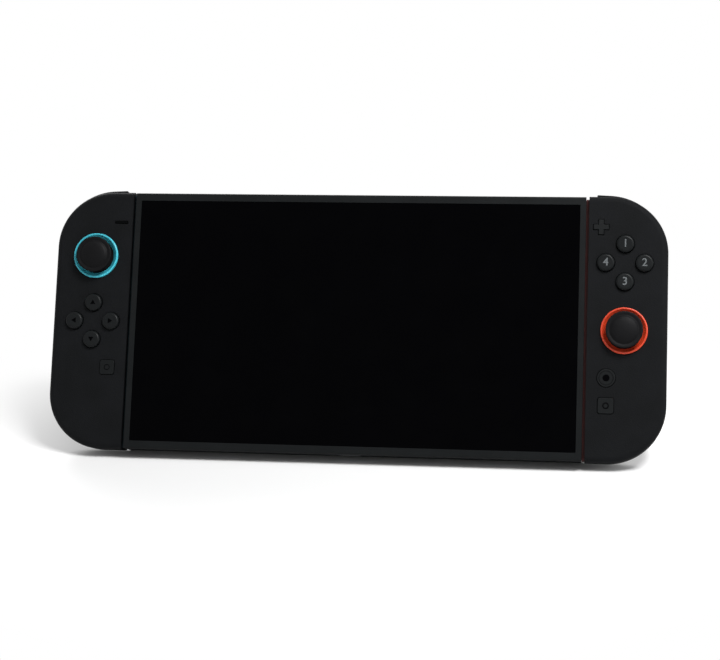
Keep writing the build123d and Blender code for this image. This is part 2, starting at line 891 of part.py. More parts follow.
def draw_plus(grow):
    """Upright cross."""
    Rectangle(plus_span + 2 * grow, plus_arm + 2 * grow)
    Rectangle(plus_arm + 2 * grow, plus_span + 2 * grow)


def draw_capture(grow):
    """Rounded square of the left controller."""
    RectangleRounded(capture_width + 2 * grow, capture_width + 2 * grow, small_corner_radius + grow)


def draw_home(grow):
    """Round menu button."""
    Circle(home_radius + grow)


def draw_extra(grow):
    """Rounded square below the menu button."""
    RectangleRounded(extra_width + 2 * grow, extra_width + 2 * grow, small_corner_radius + grow)


def draw_minus_flange(grow):
    """Retaining bar, wider than its mouth upwards and downwards only."""
    Rectangle(minus_length, minus_width + 2 * grow)


def draw_plus_flange(_):
    """Retaining square behind the cross."""
    Rectangle(plus_span, plus_span)


def draw_release(grow):
    """Rounded bar of the release button on the back."""
    width = release_width + 2 * grow
    RectangleRounded(width, release_length + 2 * grow, width * release_round_share)


def cluster_height(side):
    """Height of the four round buttons: below the stick on the left, above it on the right."""
    return upper_cluster_height if side == RIGHT else lower_cluster_height


def stick_height(side):
    """Height of the stick: the other of the two cluster heights."""
    return lower_cluster_height if side == RIGHT else upper_cluster_height


def cluster_places(side):
    """Name, place and height of each round button."""
    middle = cluster_height(side)
    names = ("action_button_1", "action_button_2", "action_button_3", "action_button_4")
    if side == LEFT:
        names = ("direction_up", "direction_right", "direction_down", "direction_left")
    inward = -1 if side == RIGHT else 1
    return [
        (names[0], stick_place, middle + cluster_radius),
        (names[1], stick_place - inward * cluster_radius, middle),
        (names[2], stick_place, middle - cluster_radius),
        (names[3], stick_place + inward * cluster_radius, middle),
    ]


def small_controls(side):
    """Name, place, height, drawn shape and drawn flange of each small button."""
    if side == LEFT:
        return [
            ("minus_button", minus_place, minus_height, draw_minus, draw_minus_flange),
            ("capture_button", capture_place, capture_height, draw_capture, draw_capture),
        ]
    return [
        ("plus_button", plus_place, plus_height, draw_plus, draw_plus_flange),
        ("home_button", home_place, home_height, draw_home, draw_home),
        ("extra_button", home_place, extra_height, draw_extra, draw_extra),
    ]


def outer_edges(face, side):
    """Edges of a flat end of the outline, without the straight one at the tablet."""
    edges = face.edges().sort_by(Axis.X)
    return edges[1:] if side == RIGHT else edges[:-1]


def make_front_shell(side, prefix):
    """Front half of a controller's housing, with the mouths of its buttons."""
    with BuildPart() as shell:
        with BuildSketch(front_plane(shell_front_depth)):
            draw_outline(side, 0)
        extrude(amount=shell_front_depth)
        fillet(outer_edges(shell.faces().sort_by(Axis.Y)[0], side), shell_front_radius)
        with BuildSketch(front_plane(shell_front_depth)):
            draw_outline(side, shell_wall)
        extrude(amount=shell_front_depth - shell_wall, mode=Mode.SUBTRACT)
        ring_mouth = (across(side, stick_place), 0, stick_height(side))
        mouth_length = 2 * (shell_wall + overrun)
        fill_rod(ring_mouth, ring_spigot_radius + seat_clearance, mouth_length, ALONG_Y, mode=Mode.SUBTRACT)
        mouths = [(draw_round, place, height) for _, place, height in cluster_places(side)]
        mouths += [(draw, place, height) for _, place, height, draw, _ in small_controls(side)]
        for draw, place, height in mouths:
            past = shell_wall + overrun
            extrude_shape(draw, side, place, height, -overrun, past, slide_clearance, Mode.SUBTRACT)
        for height in rail_button_heights:
            cut_rail_mouth(side, height, 0, shell_wall)
        gap = slide_clearance
        fill_box(
            (across(side, shoulder_from - gap), shoulder_front - gap, corner_top()),
            (across(side, shoulder_to + gap), shoulder_back + gap, controller_height + overrun),
            mode=Mode.SUBTRACT,
        )
        for along, up in controller_post_shares:
            post = controller_board_depth - shell_wall
            middle = (across(side, along * controller_width), shell_wall + post / 2, up * controller_height)
            fill_rod(middle, controller_post_radius, post, ALONG_Y)
    return named(shell, prefix + "_front_shell")


def corner_top():
    """Height just under the shoulder button's flange, at its outer end."""
    run = shoulder_to + slide_clearance - (controller_width - corner_radius)
    inner_radius = corner_radius - shell_wall
    drop = corner_radius - sqrt(inner_radius**2 - run**2)
    return controller_height - drop - overrun


def cut_rail_mouth(side, height, from_place, to_place):
    """Mouth of a rail button through the wall between two places."""
    fill_box(
        (
            across(side, from_place - overrun),
            rail_button_depth - rail_button_width / 2 - slide_clearance,
            height - rail_button_length / 2 - slide_clearance,
        ),
        (
            across(side, to_place + overrun),
            rail_button_depth + rail_button_width / 2 + slide_clearance,
            height + rail_button_length / 2 + slide_clearance,
        ),
        mode=Mode.SUBTRACT,
    )


def make_rear_shell(side, prefix):
    """Rear half of a controller's housing, with the trigger's bay in its upper corner."""
    bay_lower = controller_height - trigger_bay_height
    bay_from = trigger_from - slide_clearance
    bay_to = trigger_to + slide_clearance
    with BuildPart() as hollow:
        with BuildSketch(front_plane(shell_back_inside)):
            draw_outline(side, shell_wall)
        extrude(amount=shell_back_inside - shell_front_depth)
        fillet(outer_edges(hollow.faces().sort_by(Axis.Y)[-1], side), shell_rear_radius - shell_wall)
        fill_box(
            (across(side, 0), shell_front_depth, bay_lower - shell_wall),
            (across(side, bay_to + shell_wall), console_depth, controller_height),
            mode=Mode.SUBTRACT,
        )
    with BuildPart() as shell:
        with BuildSketch(front_plane(console_depth)):
            draw_outline(side, 0)
        extrude(amount=console_depth - shell_front_depth)
        fillet(outer_edges(shell.faces().sort_by(Axis.Y)[-1], side), shell_rear_radius)
        add(hollow.part, mode=Mode.SUBTRACT)
        fill_box(
            (across(side, bay_from), trigger_bay_depth, bay_lower),
            (across(side, bay_to), console_depth + overrun, controller_height + overrun),
            mode=Mode.SUBTRACT,
        )
        pin_span = trigger_to - trigger_from + 2 * (trigger_pin_length + slide_clearance)
        pin_hole = trigger_pin_radius + pin_clearance
        fill_rod(trigger_pivot(side), pin_hole, pin_span, ALONG_X, mode=Mode.SUBTRACT)
        extrude_shape(
            draw_release,
            side,
            release_place,
            release_height,
            shell_back_inside - overrun,
            console_depth + overrun,
            slide_clearance,
            Mode.SUBTRACT,
        )
    return named(shell, prefix + "_rear_shell")


def trigger_pivot(side):
    """Middle of the trigger's pivot line."""
    return (
        across(side, (trigger_from + trigger_to) / 2),
        trigger_bay_depth + trigger_pivot_back,
        controller_height - trigger_pivot_drop,
    )


def make_trigger(side, prefix):
    """Hooked trigger that swings on two pins in the rear shell."""
    front = trigger_bay_depth + trigger_swing_gap
    top = controller_height
    lower = top - trigger_bay_height + trigger_swing_gap
    with BuildPart() as trigger:
        start = min(across(side, trigger_from), across(side, trigger_to))
        with BuildSketch(Plane.YZ.offset(start)) as profile:
            with BuildLine():
                Polyline(
                    (front, top),
                    (console_depth + trigger_reach * trigger_top_share, top),
                    (console_depth + trigger_reach, top - trigger_bay_height * trigger_nose_share),
                    (
                        console_depth + trigger_reach * trigger_tip_share,
                        top - trigger_bay_height * trigger_tip_drop_share,
                    ),
                    (console_depth + trigger_heel, lower),
                    (front, lower),
                    close=True,
                )
            make_face()
            nose = profile.vertices().sort_by(Axis.X)[-2:]
            fillet(nose, trigger_nose_radius)
        extrude(amount=trigger_to - trigger_from)
        with BuildSketch(front_plane(console_depth + 2 * trigger_reach)):
            draw_outline(side, slide_clearance)
        extrude(amount=2 * (console_depth + trigger_reach), mode=Mode.INTERSECT)
        with BuildSketch(Plane.XY):
            plan_length = 2 * (console_depth + trigger_reach)
            with Locations((across(side, (trigger_from + trigger_to) / 2), 0)):
                RectangleRounded(trigger_to - trigger_from, plan_length, trigger_end_round)
        extrude(amount=controller_height, mode=Mode.INTERSECT)
        pin_span = trigger_to - trigger_from + 2 * trigger_pin_length
        fill_rod(trigger_pivot(side), trigger_pin_radius, pin_span, ALONG_X)
    return named(trigger, prefix + "_trigger")


def make_shoulder_button(side, prefix):
    """Curved button on the upper edge, with a flange under the housing's wall."""
    with BuildPart() as button:
        draw_shoulder(side, -shoulder_proud, shell_wall + slide_clearance, 0, shoulder_tilt())
        fillet(button.edges().filter_by(Axis.Y).group_by(Axis.Z)[-1], shoulder_proud / 2)
        lower = shell_wall + slide_clearance
        draw_shoulder(side, lower, lower + shoulder_flange_thickness, shoulder_flange)
    return named(button, prefix + "_shoulder_button")


def shoulder_tilt():
    """Turn in degrees that brings the shoulder button's outer end flush with the housing."""
    return degrees(atan2(shoulder_proud, shoulder_to - shoulder_from))


def draw_shoulder(side, from_inset, to_inset, grow, tilt=0):
    """Band of the outline between two insets, over the shoulder button's stretch."""
    low = across(side, shoulder_from - grow)
    high = across(side, shoulder_to + grow)
    back = shoulder_back + grow
    front = shoulder_front - grow if grow == 0 else shoulder_front - slide_clearance
    with BuildSketch(Plane.XY) as crown:
        draw_outline(side, from_inset)
    pivot = Axis((low, controller_height - from_inset, 0), Axis.Z.direction)
    with BuildSketch(front_plane(back)) as band:
        add(crown.sketch.rotate(pivot, -side * tilt))
        with BuildSketch(Plane.XY, mode=Mode.PRIVATE) as hollow:
            draw_outline(side, to_inset)
        add(hollow.sketch, mode=Mode.SUBTRACT)
        with Locations(((low + high) / 2, controller_height)):
            Rectangle(abs(high - low), corner_radius, mode=Mode.INTERSECT)
    extrude(band.sketch, amount=back - front)


def make_rail_plate(side, prefix):
    """Coloured plate on the inner face, with the contact tongue that enters the tablet."""
    with BuildPart() as plate:
        fill_box(
            (across(side, -rail_thickness), rail_front_inset, rail_inset),
            (across(side, 0), console_depth - rail_inset, controller_height - rail_inset),
        )
        fillet(plate.edges().filter_by(Axis.X), small_corner_radius)
        depth, rise = tongue_thickness / 2, tongue_height / 2
        fill_box(
            (across(side, -rail_thickness - tongue_length), tongue_depth - depth, tongue_rise - rise),
            (across(side, -rail_thickness), tongue_depth + depth, tongue_rise + rise),
        )
        for height in rail_button_heights:
            cut_rail_mouth(side, height, -rail_thickness, 0)
    return named(plate, prefix + "_rail_plate")


def make_rail_button(side, prefix, label, height):
    """Button in the rail, hidden while the controller is on the tablet."""
    inner = shell_wall + slide_clearance
    with BuildPart() as button:
        width, length = rail_button_width / 2, rail_button_length / 2
        fill_box(
            (across(side, -rail_thickness), rail_button_depth - width, height - length),
            (across(side, inner), rail_button_depth + width, height + length),
        )
        fillet(button.edges().filter_by(Axis.X), rail_button_width * release_round_share)
        width += small_flange_width
        length += small_flange_width
        fill_box(
            (across(side, inner), rail_button_depth - width, height - length),
            (across(side, inner + flange_thickness), rail_button_depth + width, height + length),
        )
    return named(button, prefix + "_" + label)


def make_release_button(side, prefix):
    """Button on the back that unlocks the controller from the tablet."""
    inner = shell_back_inside - slide_clearance
    with BuildPart() as button:
        extrude_shape(draw_release, side, release_place, release_height, inner, console_depth + release_proud)
        fillet(button.faces().sort_by(Axis.Y)[-1].edges(), release_proud / 2)
        start = inner - flange_thickness
        extrude_shape(draw_release, side, release_place, release_height, start, inner, small_flange_width)
    return named(button, prefix + "_release_button")


def make_button(side, prefix, label, place, height, shapes, sizes):
    """Front button: a cap in its mouth, a flange behind the wall and a stem towards the board."""
    draw, draw_flange = shapes
    proud, rounding, travel, flange = sizes
    behind = shell_wall + slide_clearance
    with BuildPart() as button:
        extrude_shape(draw, side, place, height, -proud, behind)
        fillet(button.faces().sort_by(Axis.Y)[0].edges(), rounding)
        extrude_shape(draw_flange, side, place, height, behind, behind + flange_thickness, flange)
        stem_start = behind + flange_thickness
        stem = controller_board_depth - travel - seat_clearance - stem_start
        middle = (across(side, place), stem_start + stem / 2, height)
        fill_rod(middle, stem_radius, stem, ALONG_Y)
    return named(button, prefix + "_" + label)


def make_stick_ring(side, prefix):
    """Coloured collar round the stick, seated in the front shell."""
    middle = (across(side, stick_place), 0, stick_height(side))
    with BuildPart() as ring:
        front = (middle[0], -ring_proud / 2, middle[2])
        fill_rod(front, ring_outer_radius, ring_proud, ALONG_Y)
        fillet(ring.faces().sort_by(Axis.Y)[0].edges(), ring_edge_round)
        fill_rod((middle[0], shell_wall / 2, middle[2]), ring_spigot_radius, shell_wall, ALONG_Y)
        fill_rod(middle, ring_inner_radius, 2 * (ring_proud + shell_wall), ALONG_Y, mode=Mode.SUBTRACT)
        slope = ring_proud + ring_slope_depth
        with Locations((middle[0], slope / 2 - ring_proud, middle[2])):
            Cone(ring_inner_radius, ring_mouth_radius, slope, rotation=ALONG_Y, mode=Mode.SUBTRACT)
    return named(ring, prefix + "_stick_ring")


def make_stick_carrier(side, prefix):
    """Box that holds the stick's gimbal and clicks inwards on its switch."""
    middle = (across(side, stick_place), 0, stick_height(side))
    with BuildPart() as carrier:
        fill_box(
            (middle[0] - carrier_half_width, carrier_front_depth, middle[2] - carrier_half_width),
            (middle[0] + carrier_half_width, carrier_rear_depth, middle[2] + carrier_half_width),
        )
        half = carrier_half_width - carrier_wall
        fill_box(
            (middle[0] - half, carrier_front_depth + carrier_wall, middle[2] - half),
            (middle[0] + half, carrier_rear_depth - carrier_wall, middle[2] + half),
            mode=Mode.SUBTRACT,
        )
        fill_rod(
            (middle[0], carrier_front_depth, middle[2]),
            carrier_mouth_radius,
            2 * (carrier_wall + seat_clearance),
            ALONG_Y,
            mode=Mode.SUBTRACT,
        )
        pivot = (middle[0], stick_pivot_depth, middle[2])
        fill_rod(pivot, stick_pin_radius + pin_clearance, 2 * carrier_half_width, ALONG_X, mode=Mode.SUBTRACT)
    return named(carrier, prefix + "_stick_carrier")


def make_stick_yoke(side, prefix):
    """Frame that rocks up and down on two pins in the carrier."""
    pivot = (across(side, stick_place), stick_pivot_depth, stick_height(side))
    with BuildPart() as yoke:
        fill_rod(pivot, stick_pin_radius, 2 * (carrier_half_width - seat_clearance), ALONG_X)
        with Locations(pivot):
            Box(2 * yoke_half_width, yoke_thickness, 2 * yoke_half_width)
            Box(2 * yoke_half_opening, yoke_thickness + overrun, 2 * yoke_half_opening, mode=Mode.SUBTRACT)
        pin_hole = stick_pin_radius + pin_clearance
        fill_rod(pivot, pin_hole, 2 * (yoke_half_width + overrun), ALONG_Z, mode=Mode.SUBTRACT)
    return named(yoke, prefix + "_stick_yoke")


def make_stick(side, prefix):
    """Thumb stick: dished cap, neck and shaft, with its cross pin in the yoke."""
    pivot = (across(side, stick_place), stick_pivot_depth, stick_height(side))
    with BuildPart() as stick:
        with BuildSketch(Plane.XY) as profile:
            with BuildLine():
                rim_low = -stick_cap_proud + stick_cap_rim
                cone_low = rim_low + stick_cap_cone
                Polyline(
                    (0, -stick_cap_proud),
                    (stick_cap_radius, -stick_cap_proud),
                    (stick_cap_radius, rim_low),
                    (stick_neck_radius, cone_low),
                    (stick_neck_radius, 0),
                    (stick_shaft_radius, stick_neck_radius - stick_shaft_radius),
                    (stick_shaft_radius, stick_pivot_depth),
                    (0, stick_pivot_depth),
                    close=True,
                )
            make_face()
            rim = profile.vertices().sort_by(Axis.X)[-2:]
            fillet(rim, stick_cap_round)
        revolve(axis=Axis.Y)
        bowl_radius = (stick_dish_radius**2 + stick_dish_depth**2) / (2 * stick_dish_depth)
        with Locations((0, -stick_cap_proud + stick_dish_depth - bowl_radius, 0)):
            Sphere(bowl_radius, mode=Mode.SUBTRACT)
        fill_rod((0, stick_pivot_depth, 0), stick_hub_radius, 2 * stick_hub_radius, ALONG_Z)
        fill_rod((0, stick_pivot_depth, 0), stick_pin_radius, 2 * yoke_half_width, ALONG_Z)
    placed = stick.part.moved(Location((pivot[0], 0, pivot[2])))
    placed.label = prefix + "_stick"
    return placed


def make_controller_board(side, prefix):
    """Circuit board on the front shell's posts, with a window for the stick."""
    with BuildPart() as board:
        with BuildSketch(front_plane(controller_board_depth + controller_board_thickness)):
            draw_outline(side, shell_wall + slide_clearance)
            middle = (
                across(side, controller_board_inset + controller_width / 2),
                (controller_board_lower + controller_board_upper) / 2,
            )
            with Locations(middle):
                board_height = controller_board_upper - controller_board_lower
                Rectangle(controller_width, board_height, mode=Mode.INTERSECT)
            with Locations((across(side, stick_place), stick_height(side))):
                window = 2 * (carrier_half_width + slide_clearance)
                Rectangle(window, window, mode=Mode.SUBTRACT)
        extrude(amount=controller_board_thickness)
    return named(board, prefix + "_board")


def make_controller_battery(side, prefix):
    """Small battery pack behind the controller's board."""
    front = controller_board_depth + controller_board_thickness + seat_clearance
    half = controller_battery_width / 2
    with BuildPart() as pack:
        fill_box(
            (across(side, controller_battery_place - half), front, controller_battery_lower),
            (
                across(side, controller_battery_place + half),
                front + controller_battery_thickness,
                controller_battery_lower + controller_battery_height,
            ),
        )
        fillet(pack.edges().filter_by(Axis.Y), small_corner_radius)
    return named(pack, prefix + "_battery")


def make_controller(side, prefix):
    """All pieces of one controller."""
    round_sizes = (button_proud, button_edge_round, button_travel, flange_width)
    small_sizes = (small_button_proud, small_button_proud / 2, small_button_travel, small_flange_width)
    pieces = [
        make_front_shell(side, prefix),
        make_rear_shell(side, prefix),
        make_rail_plate(side, prefix),
        make_stick_ring(side, prefix),
        make_stick_carrier(side, prefix),
        make_stick_yoke(side, prefix),
        make_stick(side, prefix),
        make_controller_board(side, prefix),
        make_controller_battery(side, prefix),
        make_shoulder_button(side, prefix),
        make_trigger(side, prefix),
        make_release_button(side, prefix),
        make_rail_button(side, prefix, "lower_rail_button", rail_button_heights[0]),
        make_rail_button(side, prefix, "upper_rail_button", rail_button_heights[1]),
    ]
    for label, place, height in cluster_places(side):
        shapes = (draw_round, draw_round)
        pieces.append(make_button(side, prefix, label, place, height, shapes, round_sizes))
    for label, place, height, draw, draw_flange in small_controls(side):
        shapes = (draw, draw_flange)
        pieces.append(make_button(side, prefix, label, place, height, shapes, small_sizes))
    return pieces


def make_tablet():
    """All pieces of the tablet; the kickstand is swung open."""
    hinge = Location((0, stand_axis_depth, stand_hinge_height))
    swing = hinge * Location((0, 0, 0), (stand_open_angle, 0, 0)) * hinge.inverse()
    stand = make_kickstand().moved(swing)
    stand.label = "kickstand"
    return [
        make_tablet_frame(),
        make_cover_glass(),
        make_display_panel(),
        make_mid_plate(),
        make_main_board(),
        make_heat_sink(),
        make_fan_housing(),
        make_fan_rotor(),
        make_tablet_battery(),
        make_speakers(),
        make_usb_ports(),
        make_headphone_jack(),
        make_card_slot(),
        make_card_slot_cover(),
        make_edge_button("power_button", power_place, power_length),
        make_edge_button("volume_rocker", volume_place, volume_length, rocker_pin_length),
        make_rear_cover(),
        stand,
        make_tablet_fasteners(),
    ]


def lean_angle():
    """Backward lean in degrees of a console that rests on its rear lower edge and the stand's foot."""
    foot_radius = stand_thickness * foot_round_share
    swing = radians(stand_open_angle)
    reach = stand_length - foot_radius
    foot_depth = stand_axis_depth + reach * sin(swing)
    foot_height = stand_hinge_height - reach * cos(swing)
    run = foot_depth - (console_depth - rear_edge_radius)
    rise = foot_height - (tablet_lower + rear_edge_radius)
    return degrees(atan2(rise, run) + asin((rear_edge_radius - foot_radius) / hypot(run, rise)))


def standing_place(pieces):
    """Move that leans the console back and sets its footprint's centre at the origin."""
    lean = Location((0, 0, 0), (-lean_angle(), 0, 0))
    boxes = [piece.moved(lean).bounding_box() for piece in pieces]
    front = min(box.min.Y for box in boxes)
    back = max(box.max.Y for box in boxes)
    lowest = min(box.min.Z for box in boxes)
    return Location((0, -(front + back) / 2, -lowest)) * lean


pieces = make_tablet() + make_controller(LEFT, "left") + make_controller(RIGHT, "right")
standing = standing_place(pieces)
os.makedirs("parts", exist_ok=True)
for piece in pieces:
    placed = piece.moved(standing)
    placed.label = piece.label
    export_step(placed, "parts/" + piece.label + ".step")
print("pieces", len(pieces), "lean", round(lean_angle(), 3))
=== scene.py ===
"""Looks of the handheld game console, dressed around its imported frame.

The console stands on its kickstand and leans back. Pieces are drawn on the upright console, in
millimetres, with X to the player's right, Y from the glass towards the back and Z up, and one
matrix puts them in place.
"""
import json
import logging
import math
from dataclasses import dataclass
from enum import Enum
from typing import Any, Callable, Optional, Sequence

import bpy
from mathutils import Matrix, Vector


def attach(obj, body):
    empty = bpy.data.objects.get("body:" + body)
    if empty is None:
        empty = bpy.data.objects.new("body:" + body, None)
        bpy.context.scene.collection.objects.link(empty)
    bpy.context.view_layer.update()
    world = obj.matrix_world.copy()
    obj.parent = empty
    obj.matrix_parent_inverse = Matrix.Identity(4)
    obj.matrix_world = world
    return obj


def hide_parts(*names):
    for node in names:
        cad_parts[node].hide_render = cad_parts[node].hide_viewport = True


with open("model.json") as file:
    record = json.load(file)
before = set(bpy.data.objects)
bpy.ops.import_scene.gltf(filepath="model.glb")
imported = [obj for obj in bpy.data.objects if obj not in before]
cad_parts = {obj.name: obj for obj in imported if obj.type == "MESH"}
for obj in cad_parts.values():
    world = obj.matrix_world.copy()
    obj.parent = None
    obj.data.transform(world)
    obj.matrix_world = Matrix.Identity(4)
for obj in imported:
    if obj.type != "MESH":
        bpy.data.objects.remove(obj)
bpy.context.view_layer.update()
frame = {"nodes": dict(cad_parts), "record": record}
MM = 0.001
# The middle of a turned piece is left open by this radius and closed with one small face.
POLE_RADIUS = 0.01
log = logging.getLogger("console")

Point = tuple[float, float, float]
# Pairs of a radius, or a place across, and a depth or a height.
Pairs = Sequence[tuple[float, float]]


class Side(Enum):
    """Which controller a piece belongs to."""

    LEFT = -1
    RIGHT = 1


class Edge(Enum):
    """Angle in degrees above which the shading of a mesh breaks."""

    SOFT = 60
    CRISP = 30


def to_linear(hex_colour: str) -> tuple[float, float, float, float]:
    """Turn an sRGB hex colour into a linear one.

    Args:
        hex_colour: Six hex digits after a hash sign.

    Returns:
        Red, green, blue and an alpha of 1.
    """
    channels = []
    for start in (1, 3, 5):
        value = int(hex_colour[start:start + 2], 16) / 255
        channels.append(value / 12.92 if value <= 0.04045 else ((value + 0.055) / 1.055) ** 2.4)
    return (channels[0], channels[1], channels[2], 1.0)


def add_node(
    tree: bpy.types.NodeTree,
    kind: str,
    settings: Optional[dict[str, Any]] = None,
    links: Optional[dict[str, Any]] = None,
) -> bpy.types.Node:
    """Add a node to a tree, with its settings and the links into it.

    Args:
        tree: Node tree of a material or of the world.
        kind: Blender's name of the node's type.
        settings: Values by attribute or by input name.
        links: Output sockets by the name of the input that takes them.

    Returns:
        The new node.
    """
    node = tree.nodes.new(kind)
    for name, value in (settings or {}).items():
        if name in node.inputs:
            node.inputs[name].default_value = value
        else:
            setattr(node, name, value)
    for name, socket in (links or {}).items():
        tree.links.new(socket, node.inputs[name])
    return node


def empty_tree(name: str) -> tuple[bpy.types.Material, bpy.types.NodeTree]:
    """Make a material with an empty node tree.

    Args:
        name: The material's name.

    Returns:
        The material and its tree.
    """
    material = bpy.data.materials.new(name)
    material.use_nodes = True
    material.node_tree.nodes.clear()
    return material, material.node_tree


@dataclass(frozen=True)
class Finish:
    """Surface of one real material: a fine grain and slow patches in its colour and gloss."""

    name: str
    light: str
    dark: str
    roughness: float
    specular: float = 0.5
    metallic: float = 0.0
    ior: float = 1.5
    grain_mm: float = 0.4
    grain_detail: float = 3.0
    grain_roughness: float = 0.6
    relief: float = 0.12
    patch_mm: float = 14.0
    patch_detail: float = 2.0
    dark_below: float = 0.1
    light_above: float = 0.45
    gloss_spread: float = 0.06
    least_roughness: float = 0.02
    stretch: Point = (1.0, 1.0, 1.0)

    def build(self) -> bpy.types.Material:
        """Make the Blender material.

        Returns:
            The finished material.
        """
        material, tree = empty_tree(self.name)
        spot = add_node(tree, "ShaderNodeTexCoord")
        spread = add_node(
            tree, "ShaderNodeMapping", {"Scale": self.stretch}, {"Vector": spot.outputs["Object"]}
        )
        grain = add_node(
            tree,
            "ShaderNodeTexNoise",
            {
                "Scale": 1 / (self.grain_mm * MM),
                "Detail": self.grain_detail,
                "Roughness": self.grain_roughness,
            },
            {"Vector": spread.outputs["Vector"]},
        )
        patch = add_node(
            tree,
            "ShaderNodeTexNoise",
            {"Scale": 1 / (self.patch_mm * MM), "Detail": self.patch_detail},
            {"Vector": spread.outputs["Vector"]},
        )
        mixed = add_node(
            tree, "ShaderNodeMath", {"operation": "MULTIPLY"}, {"Value": grain.outputs["Fac"]}
        )
        tree.links.new(patch.outputs["Fac"], mixed.inputs[1])
        colour = add_node(tree, "ShaderNodeValToRGB", {}, {"Fac": mixed.outputs["Value"]})
        dark, light = colour.color_ramp.elements
        dark.position = self.dark_below
        dark.color = to_linear(self.dark)
        light.position = self.light_above
        light.color = to_linear(self.light)
        rough = add_node(
            tree,
            "ShaderNodeMapRange",
            {
                "To Min": max(self.roughness - self.gloss_spread, self.least_roughness),
                "To Max": min(self.roughness + self.gloss_spread, 1.0),
            },
            {"Value": patch.outputs["Fac"]},
        )
        bump = add_node(
            tree,
            "ShaderNodeBump",
            {"Strength": self.relief, "Distance": self.grain_mm * MM},
            {"Height": grain.outputs["Fac"]},
        )
        shader = add_node(
            tree,
            "ShaderNodeBsdfPrincipled",
            {"Metallic": self.metallic, "IOR": self.ior, "Specular IOR Level": self.specular},
            {
                "Base Color": colour.outputs["Color"],
                "Roughness": rough.outputs["Result"],
                "Normal": bump.outputs["Normal"],
            },
        )
        add_node(tree, "ShaderNodeOutputMaterial", {}, {"Surface": shader.outputs["BSDF"]})
        return material


# The tooth of a mould, of rubber and of rolled or plated metal is finer than 0.1 mm. It is drawn
# at 0.2 mm or more on every finish below, as coarse as it needs to be to show.

# ABS and polycarbonate housing, spark-textured mould: a dull charcoal with a fine even tooth.
HOUSING = Finish(
    "housing_spark_textured_abs", "#161719", "#0F1011", 0.6, 0.05, grain_mm=0.45, relief=0.25
)
# The same plastic on the tablet's frame, moulded smoother, so its edges catch a thin light line.
FRAME_PLASTIC = Finish(
    "frame_satin_moulded_abs", "#151718", "#0F1112", 0.42, 0.08, grain_mm=0.3, relief=0.08
)
# Polished ABS button caps: slightly darker and glossier than the housing round them.
BUTTON = Finish("button_polished_abs", "#141617", "#0E1011", 0.34, 0.1, grain_mm=0.6, relief=0.03)
# Flush menu buttons: satin, nearly lost in the housing.
FLUSH_BUTTON = Finish(
    "flush_button_satin_abs", "#121415", "#0D0F10", 0.45, 0.1, grain_mm=0.4, relief=0.05
)
# The minus bar's plastic is matt, and its deep black colour is painted shade, so it reads as a cut-out.
MINUS_BAR_PAINTED_SHADE = Finish(
    "menu_bar_black_abs", "#08090A", "#050606", 0.6, 0.02, grain_mm=0.4, relief=0.05
)
# Moulded silicone rubber of the stick's cap: warm black, soft highlight.
STICK_RUBBER = Finish(
    "stick_moulded_rubber", "#0F0F11", "#0A0A0B", 0.48, 0.08, grain_mm=0.35, relief=0.15
)
# Soft rubber of the seal, the gaskets and the strip under the stand's foot: dull, no highlight.
FOOT_RUBBER = Finish(
    "foot_moulded_rubber", "#111213", "#0B0C0D", 0.75, 0.06, grain_mm=0.5, relief=0.25
)
# Dyed polycarbonate of the left accents: clean cyan with a satin skin.
CYAN = Finish("cyan_moulded_polycarbonate", "#4CC6D8", "#37AABD", 0.3, 0.4, grain_mm=0.5, relief=0.03)
# Dyed polycarbonate of the right accents: warm orange red.
RED = Finish("red_moulded_polycarbonate", "#D8482B", "#C23A1D", 0.3, 0.4, grain_mm=0.5, relief=0.03)
# Rails of the same dyed plastic, their colour darkened far below it as painted shade, since they sit low in
# the gap.
CYAN_RAIL_PAINTED_SHADE = Finish(
    "rail_cyan_moulded_polycarbonate", "#0A222A", "#07191F", 0.4, 0.2, grain_mm=0.5, relief=0.03
)
RED_RAIL_PAINTED_SHADE = Finish(
    "rail_red_moulded_polycarbonate", "#4E1411", "#3A0E0B", 0.4, 0.2, grain_mm=0.5, relief=0.03
)
# Toughened cover glass with an anti-reflection coat: a black mirror with faint reflections.
GLASS = Finish("cover_glass_coated", "#020203", "#010102", 0.05, 0.015, grain_mm=30.0, relief=0.0)
# Display stack behind the glass: laminated films, near black when it is off.
DISPLAY = Finish(
    "display_laminated_film", "#040406", "#020203", 0.2, 0.3, grain_mm=0.5, relief=0.02
)
# Stamped aluminium plates and fins: bright, with the long streaks of a rolled sheet.
ALUMINIUM = Finish(
    "aluminium_rolled_sheet", "#B9BCC0", "#A4A7AB", 0.38, metallic=1.0, grain_mm=0.8, relief=0.08,
    stretch=(0.1, 1.0, 1.0)
)
# Nickel-plated steel of sleeves and screws: a greyer, smoother shine.
STEEL = Finish(
    "steel_nickel_plated", "#8E9093", "#7B7D80", 0.3, metallic=1.0, grain_mm=0.5, relief=0.05
)
# Gold flash on the contact pads of each rail: small warm glints.
GOLD = Finish(
    "contact_gold_plated_copper", "#D8B45C", "#C39E49", 0.25, metallic=1.0, grain_mm=0.6, relief=0.03
)
# Glass-fibre board under green solder mask, with the weave showing through.
BOARD = Finish("board_solder_mask", "#14532F", "#0E3F24", 0.4, 0.5, grain_mm=1.6, relief=0.1)
# Injection-moulded inner parts: plain black nylon.
INNER = Finish("inner_moulded_nylon", "#191A1B", "#121314", 0.5, 0.35, grain_mm=0.5, relief=0.1)
# Shrink film round the battery cells: grey, with shallow wrinkles.
BATTERY = Finish("battery_shrink_film", "#3A3C40", "#2D2F33", 0.3, 0.5, grain_mm=3.0, relief=0.1)
# Pad-printed numbers in light grey ink.
INK = Finish("mark_pad_printed_ink", "#606466", "#54585A", 0.5, 0.3, grain_mm=0.2, relief=0.05)
# Marks sunk in the buttons and screw heads are coloured plain black: painted shade of their recesses.
SUNK_MARK_PAINTED_SHADE = Finish("mark_sunk_black", "#050506", "#030304", 0.8, 0.01, grain_mm=0.2, relief=0.05)


